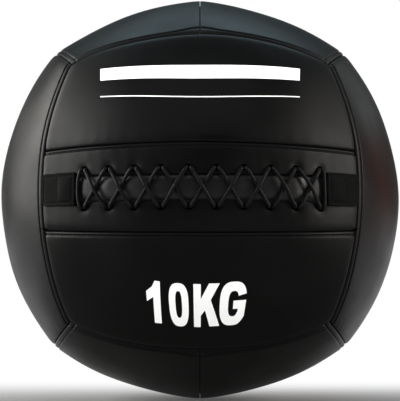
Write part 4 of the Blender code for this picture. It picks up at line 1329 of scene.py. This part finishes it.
# %% Weight mark
def soften(loop, radius):
    """Replace each corner by three points on a curve that starts a radius before it and ends one after."""
    loop = np.array(loop, float)
    before = np.roll(loop, 1, axis=0) - loop
    after = np.roll(loop, -1, axis=0) - loop
    reach_a = np.minimum(radius, np.linalg.norm(before, axis=1) / 2.2)[:, None]
    reach_b = np.minimum(radius, np.linalg.norm(after, axis=1) / 2.2)[:, None]
    start = loop + before / np.linalg.norm(before, axis=1, keepdims=True) * reach_a
    end = loop + after / np.linalg.norm(after, axis=1, keepdims=True) * reach_b
    middle = loop * 0.5 + (start + end) * 0.25
    return np.stack([start, middle, end], axis=1).reshape(-1, 2)


def bow(left, right, low, high, start, end):
    """Part of a rounded box between two angles: cosine and sine raised to a power below one, sign kept."""
    turn = np.radians(np.linspace(start, end, 2 + int(abs(end - start) / 8)))
    squared = [np.sign(part) * np.abs(part) ** 0.72 for part in (np.cos(turn), np.sin(turn))]
    middle = np.array([left + right, low + high]) / 2
    return middle + np.stack(squared, axis=1) * np.array([right - left, high - low]) / 2


one = soften([(-34.8, -76.4), (-37.1, -113.5), (-43.8, -113.5), (-42.0, -90.2), (-48.2, -94.3),
              (-47.8, -85.5), (-42.2, -81.2), (-39.3, -76.1)], 0.5)
zero = [bow(-28.3, -10.4, -115.2, -77.2, 0, 352), bow(-22.4, -16.5, -107.4, -84.0, 0, 352)]
kay = soften([(-5.8, -77.6), (0.7, -77.6), (0.7, -90.4), (7.8, -77.0), (17.1, -76.9), (9.6, -91.2),
              (18.7, -114.2), (9.2, -114.6), (4.6, -100.2), (0.7, -105.0), (0.7, -115.3),
              (-5.8, -115.3)], 0.4)
gee = np.concatenate([bow(17.9, 41.7, -114.1, -75.9, 19, 315), [(41.2, -106.4), (41.5, -92.2), (30.2, -92.2),
                      (30.2, -99.4), (34.8, -99.4), (34.6, -102.4)], bow(25.6, 34.9, -106.0, -83.8, 322, 30)])
for name, loops in (("print_one", [one]), ("print_zero", zero), ("print_kilo", [kay]), ("print_gram", [gee])):
    add_print(name, loops)

# %% [markdown]
# On the round panel a line looks level only if it climbs towards its ends, and looks upright only if
# it keeps its real distance from the ball's middle plane.

# %% Upper mark
BAR_HALF_LENGTH = 78.0
BAR_CLIMB = 10.8


def level_line(side, height):
    """Climb by a parabola; the way along is the arc whose point stays this far off the middle plane."""
    height = height + BAR_CLIMB * (side / BAR_HALF_LENGTH) ** 2
    radius = BALL_RADIUS / MM
    share = side / radius
    turn = np.arctan(share * np.sqrt((1 + np.tan(height / radius) ** 2) / (1 - share ** 2)))
    return np.stack([turn * radius, height], axis=1)


def level_band(low, high):
    """Outline between two lines that look level."""
    side = np.linspace(-BAR_HALF_LENGTH, BAR_HALF_LENGTH, 60)
    return np.concatenate([level_line(side, low), level_line(side, high)[::-1]])


add_print("print_bar", [level_band(91, 104)])
add_print("print_line", [level_band(73.4, 74.3)])

# %% [markdown]
# ## Padding
# Under the leather each face has a pad of soft closed-cell foam, eight millimetres thick, cut from
# sheet. Its cut sides are a little rounded, and its surface shows the small cells that a knife opened.

# %% Foam finish and pads
PAD_THICKNESS = 8 * MM
PAD_EDGE_GAP = 0.8 * MM
PAD_EDGE = 1 - PAD_EDGE_GAP / FACE_ARC
PAD_DEPTH = SEAM_ALLOWANCE + CLEARANCE
PAD_BACKING_GAP = 2 * MM
PAD_ROUND = 1.2 * MM
PAD_CELL = 4 * MM
PAD_PRESS = 0.5 * MM
FOAM_CELL = 1.1 * MM
FOAM_CELL_DEPTH = 0.5 * MM
FOAM_STAIN = 40 * MM

foam, tree, shader = new_material("grey closed-cell foam")
place = add_node(tree, "ShaderNodeTexCoord").outputs["Object"]
cells = add_node(tree, "ShaderNodeTexVoronoi", {"Vector": place, "Scale": per_size(FOAM_CELL)})
stain = add_node(tree, "ShaderNodeTexNoise", {"Vector": place, "Scale": per_size(FOAM_STAIN), "Detail": 3.0})
tone = add_node(tree, "ShaderNodeMix", {"Factor": cells.outputs["Distance"], "A": linear("#8d8d8f"),
                                        "B": linear("#6b6b6e")}, data_type="RGBA")
tone = add_node(tree, "ShaderNodeMix", {"Factor": stain.outputs["Fac"], "A": tone.outputs["Result"],
                                        "B": linear("#86857f")}, data_type="RGBA")
bump = add_node(tree, "ShaderNodeBump", {"Height": cells.outputs["Distance"], "Strength": 0.8,
                                         "Distance": FOAM_CELL_DEPTH})
set_inputs(tree, shader, {"Base Color": tone.outputs["Result"], "Normal": bump.outputs["Normal"],
                          "Roughness": 0.95, "Specular IOR Level": 0.1})


def pad_lines(cell_count):
    """Shares over a width with close lines at both ends, for the rounded sides."""
    near = np.array([0, 0.15, 0.4, 0.8, 1.4]) / cell_count
    return np.concatenate([near, np.arange(2, cell_count - 1) / cell_count, 1 - near[::-1]])


def add_pad(name, face, low, high):
    """Slab between two seams of a face, rounded at its sides, its faces softly pressed."""
    shares = pad_lines(round(2 * FACE_ARC / PAD_CELL))
    along = (2 * PAD_EDGE * shares - PAD_EDGE)[None, :]
    rows = pad_lines(round(FACE_ARC * float(np.max(high(along) - low(along))) / PAD_CELL))[:, None]
    across = low(along) * (1 - rows) + high(along) * rows
    side = np.minimum(across - low(along), high(along) - across)
    side = np.minimum(side, PAD_EDGE - np.abs(along))
    drop = rounded(side * FACE_ARC, PAD_ROUND)
    spot = shell(face, along, across, PAD_DEPTH)
    press = PAD_PRESS * np.abs(waves(spot, (25 * MM, 60 * MM), count=6, seed=51))
    outer = shell(face, along, across, PAD_DEPTH + drop + press)
    inner = shell(face, along, across, PAD_DEPTH + PAD_THICKNESS - drop)
    piece = add_slab(name + "_cut", outer, inner, foam, "foam", name)


channel_height = TONGUE_HALF_HEIGHT + CLEARANCE + BACKING_HEIGHT + PAD_BACKING_GAP
for face in ("back", "left", "right", "top", "bottom"):
    add_pad(face + "_foam_pad", face, straight(-PAD_EDGE), straight(PAD_EDGE))
add_pad("front_upper_foam_pad", "front", lambda along: height_share(channel_height, along),
        straight(PAD_EDGE))
add_pad("front_lower_foam_pad", "front", straight(-PAD_EDGE),
        lambda along: -height_share(channel_height, along))

# %% [markdown]
# ## Liner and filling
# A bag of cloth holds the filling, with its mouth behind the slit. Its near-black colour is painted shade,
# standing in for the shade deep in the lace holes. The filling is shredded textile, packed round a small
# heavy bag. All follow the shell at their own depth, as six grids sewn together.

# %% Closed bodies that follow the shell
BODY_CELLS = 40
LINER_THICKNESS = 0.8 * MM
LINER_DEPTH = PAD_DEPTH + PAD_THICKNESS + CLEARANCE
FILL_DEPTH = LINER_DEPTH + LINER_THICKNESS + CLEARANCE
MOUTH_HALF_HEIGHT = 8 * MM
MOUTH_LENGTH = 200 * MM
LUMP = 1.6 * MM
LUMP_LENGTHS = (14 * MM, 45 * MM)

# The liner's near-black tones are painted shade: seen through the lace holes, they stand in for the shade
# deep inside them.
liner_cloth = yarn_material("liner cloth darkened as painted shade", "#0d0d0e", "#242426", size=0.4 * MM, roughness=0.9,
                            depth=0.1 * MM, uv=False)
shreds = yarn_material("shredded textile", "#3d4152", "#a7a49d", size=1.6 * MM, roughness=0.95,
                       depth=0.9 * MM, uv=False)


def welded(points, faces):
    """A bmesh of points and faces with its doubled points merged."""
    mesh = bpy.data.meshes.new("unwelded")
    mesh.from_pydata(points.reshape(-1, 3).tolist(), [], faces.tolist())
    body = bmesh.new()
    body.from_mesh(mesh)
    bmesh.ops.remove_doubles(body, verts=body.verts, dist=CLEARANCE / 10)
    bpy.data.meshes.remove(mesh)
    return body


def body_mesh(depth, lump, cells):
    """Six grids at a depth below the leather, pressed in by lumps, their doubled borders merged."""
    line = np.linspace(-1, 1, cells + 1)
    points = []
    for face in FACES:
        points.append(shell(face, line[None, :], line[:, None], depth).reshape(-1, 3))
    points = np.concatenate(points)
    inward = np.array((0, 0, CENTRE_HEIGHT)) - points
    inward /= np.linalg.norm(inward, axis=1, keepdims=True)
    pressed = np.clip(0.5 + 0.5 * waves(points, LUMP_LENGTHS, count=12, seed=61), 0, 1)
    points = points + inward * lump * pressed[:, None]
    one = grid_faces(cells + 1, cells + 1)
    faces = (one[None] + np.arange(6)[:, None, None] * (cells + 1) ** 2).reshape(-1, 4)
    body = welded(points, faces)
    bmesh.ops.recalc_face_normals(body, faces=body.faces)
    return body


def mesh_of(name, body):
    """Write a bmesh into a new mesh and free it."""
    mesh = bpy.data.meshes.new(name)
    body.to_mesh(mesh)
    body.free()
    return mesh

# %% Liner bag
liner_mesh = mesh_of("sewn_liner", body_mesh(LINER_DEPTH, 0, BODY_CELLS))
liner = dress("sewn_liner", liner_mesh, liner_cloth, "liner_cloth", "liner_bag")
thicken(liner, LINER_THICKNESS, even=True)
mouth = bmesh.new()
bmesh.ops.create_cube(mouth, size=1.0)
for vertex in mouth.verts:
    vertex.co = Vector((vertex.co.x * MOUTH_LENGTH, (vertex.co.y - 1) * BALL_RADIUS,
                        vertex.co.z * 2 * MOUTH_HALF_HEIGHT + CENTRE_HEIGHT))
cut_from(liner, bpy.data.objects.new("mouth", mesh_of("mouth", mouth)))

# %% [markdown]
# ## Core
# The weight sits in the middle: a round bag of canvas full of iron grain, gathered to a neck and tied.
# It is turned about the upright axis, with folds that grow where the cloth is drawn together.

# %% Turned bodies
CORE_RADIUS = 72 * MM
CORE_THICKNESS = 1 * MM
NECK_RADIUS = 12 * MM
NECK_HEIGHT = 20 * MM
TIE_RADIUS = 2 * MM
CORE_SIDES = 96
NECK_TOP = CORE_RADIUS + NECK_HEIGHT


def bag_profile(radius, neck, top, steps=48):
    """Distance off the axis and height above the ball's middle: down the neck, round to the lowest point."""
    start = math.asin(neck / radius)
    turn = np.linspace(start, np.pi, steps)
    side = np.linspace(top, radius * math.cos(start), 12)[:-1]
    off = np.concatenate([0 * side + neck, radius * np.sin(turn[:-1]), [0]])
    high = np.concatenate([side, radius * np.cos(turn[:-1]), [-radius]])
    return off, high


def turned_mesh(off, high, relief=0.0):
    """Profile turned about the axis, drawn in by a relief given per row and side, poles merged."""
    turn = full_turn(CORE_SIDES)
    radius = np.maximum(off[:, None] - relief, 0) + 0 * turn
    height = 0 * radius + high[:, None] + CENTRE_HEIGHT
    points = np.stack([radius * np.cos(turn), radius * np.sin(turn), height], axis=-1)
    return welded(points, grid_faces(len(off), CORE_SIDES, round_rows=True)[:, ::-1])

# %% Core bag
FOLDS = 14
NECK_FOLD = 1.6 * MM

canvas = yarn_material("grey canvas", "#8b877b", "#bfbaa9", size=0.5 * MM, roughness=0.9,
                       depth=0.12 * MM, uv=False)
off, high = bag_profile(CORE_RADIUS, NECK_RADIUS, NECK_TOP)
turn = full_turn(CORE_SIDES)
gather = np.clip((high - CORE_RADIUS * 0.93) / (CORE_RADIUS * 0.1), 0, 1)[:, None]
folds = NECK_FOLD * gather * (0.5 - 0.5 * np.cos(FOLDS * turn + 0.8 * np.sin(3 * turn)))[None, :]
bag_mesh = mesh_of("canvas_core_bag", turned_mesh(off, high, folds))
thicken(dress("canvas_core_bag", bag_mesh, canvas, "liner_cloth", "core_bag"), CORE_THICKNESS)

# %% Iron grain
GRAIN_BEAD = 1.5 * MM
GRAIN_BEAD_HEIGHT = 0.9 * MM
GRAIN_SETTLE = 0.12 * MM
GRAIN_TOP_GAP = 1 * MM

grain_finish, tree, shader = new_material("iron grain")
place = add_node(tree, "ShaderNodeTexCoord").outputs["Object"]
bead = add_node(tree, "ShaderNodeTexVoronoi", {"Vector": place, "Scale": per_size(GRAIN_BEAD)})
split = add_node(tree, "ShaderNodeSeparateColor", {"Color": bead.outputs["Color"]})
tone = add_node(tree, "ShaderNodeMix", {"Factor": split.outputs["Red"], "A": linear("#3a3530"),
                                        "B": linear("#6d625a")}, data_type="RGBA")
bump = add_node(tree, "ShaderNodeBump", {"Height": bead.outputs["Distance"], "Strength": 1.0,
                                         "Distance": GRAIN_BEAD_HEIGHT}, invert=True)
set_inputs(tree, shader, {"Base Color": tone.outputs["Result"], "Normal": bump.outputs["Normal"],
                          "Metallic": 0.6, "Roughness": 0.55})

grain_radius = CORE_RADIUS - CORE_THICKNESS - CLEARANCE
grain_neck = NECK_RADIUS - CORE_THICKNESS - CLEARANCE - NECK_FOLD
grain_top = grain_radius * math.cos(math.asin(grain_neck / grain_radius)) - GRAIN_TOP_GAP
off, high = bag_profile(grain_radius, grain_neck, grain_top)
off[0] = 0
settle = GRAIN_SETTLE * (1 + np.sin(7 * turn)[None, :] * np.cos(high / CORE_RADIUS * 9)[:, None])
grain_mesh = mesh_of("iron_grain_fill", turned_mesh(off, high, settle))
dress("iron_grain_fill", grain_mesh, grain_finish, "iron_grain", "core_grain_fill")

# %% Tie of the neck
TIE_TURNS = 96
TIE_SIDES = 16
TIE_TWIST = 26

turn = full_turn(TIE_TURNS)[:, None]
round_tie = full_turn(TIE_SIDES)[None, :]
strand = np.abs(np.sin(1.5 * round_tie + TIE_TWIST / 2 * turn))
thick = TIE_RADIUS * (0.82 + 0.18 * strand)
reach = NECK_RADIUS + CLEARANCE + TIE_RADIUS + thick * np.cos(round_tie)
tie_points = np.stack([reach * np.cos(turn), reach * np.sin(turn),
                       thick * np.sin(round_tie) + CENTRE_HEIGHT + CORE_RADIUS + NECK_HEIGHT / 2], axis=-1)
number = np.arange(TIE_TURNS * TIE_SIDES).reshape(TIE_TURNS, TIE_SIDES)
right, up = np.roll(number, -1, axis=1), np.roll(number, -1, axis=0)
tie_faces = np.stack([number, up, np.roll(up, -1, axis=1), right], axis=-1).reshape(-1, 4)
add_piece("twisted_neck_tie", tie_points, tie_faces, lace_cord, "lace_cord", "core_bag_tie")

room = NECK_RADIUS + 2 * TIE_RADIUS + 2 * CLEARANCE
off, high = bag_profile(CORE_RADIUS + CLEARANCE, room, NECK_TOP + CLEARANCE)
pocket_body = turned_mesh(np.append([0], off), np.append([NECK_TOP + CLEARANCE], high))
pocket = bpy.data.objects.new("pocket", mesh_of("pocket", pocket_body))
for side, name in ((-1, "textile_fill_front"), (1, "textile_fill_back")):
    body = body_mesh(FILL_DEPTH, LUMP, BODY_CELLS)
    whole = body.verts[:] + body.edges[:] + body.faces[:]
    cut = bmesh.ops.bisect_plane(body, geom=whole, dist=CLEARANCE / 100, clear_outer=True,
                                 plane_co=(0, side * CLEARANCE / 2, 0), plane_no=(0, -side, 0))
    rim = [item for item in cut["geom_cut"] if isinstance(item, bmesh.types.BMEdge)]
    bmesh.ops.edgeloop_fill(body, edges=rim)
    bmesh.ops.recalc_face_normals(body, faces=body.faces)
    half = dress(name + "_shreds", mesh_of(name + "_shreds", body), shreds, "textile_fill", name)
    cut_from(half, pocket)
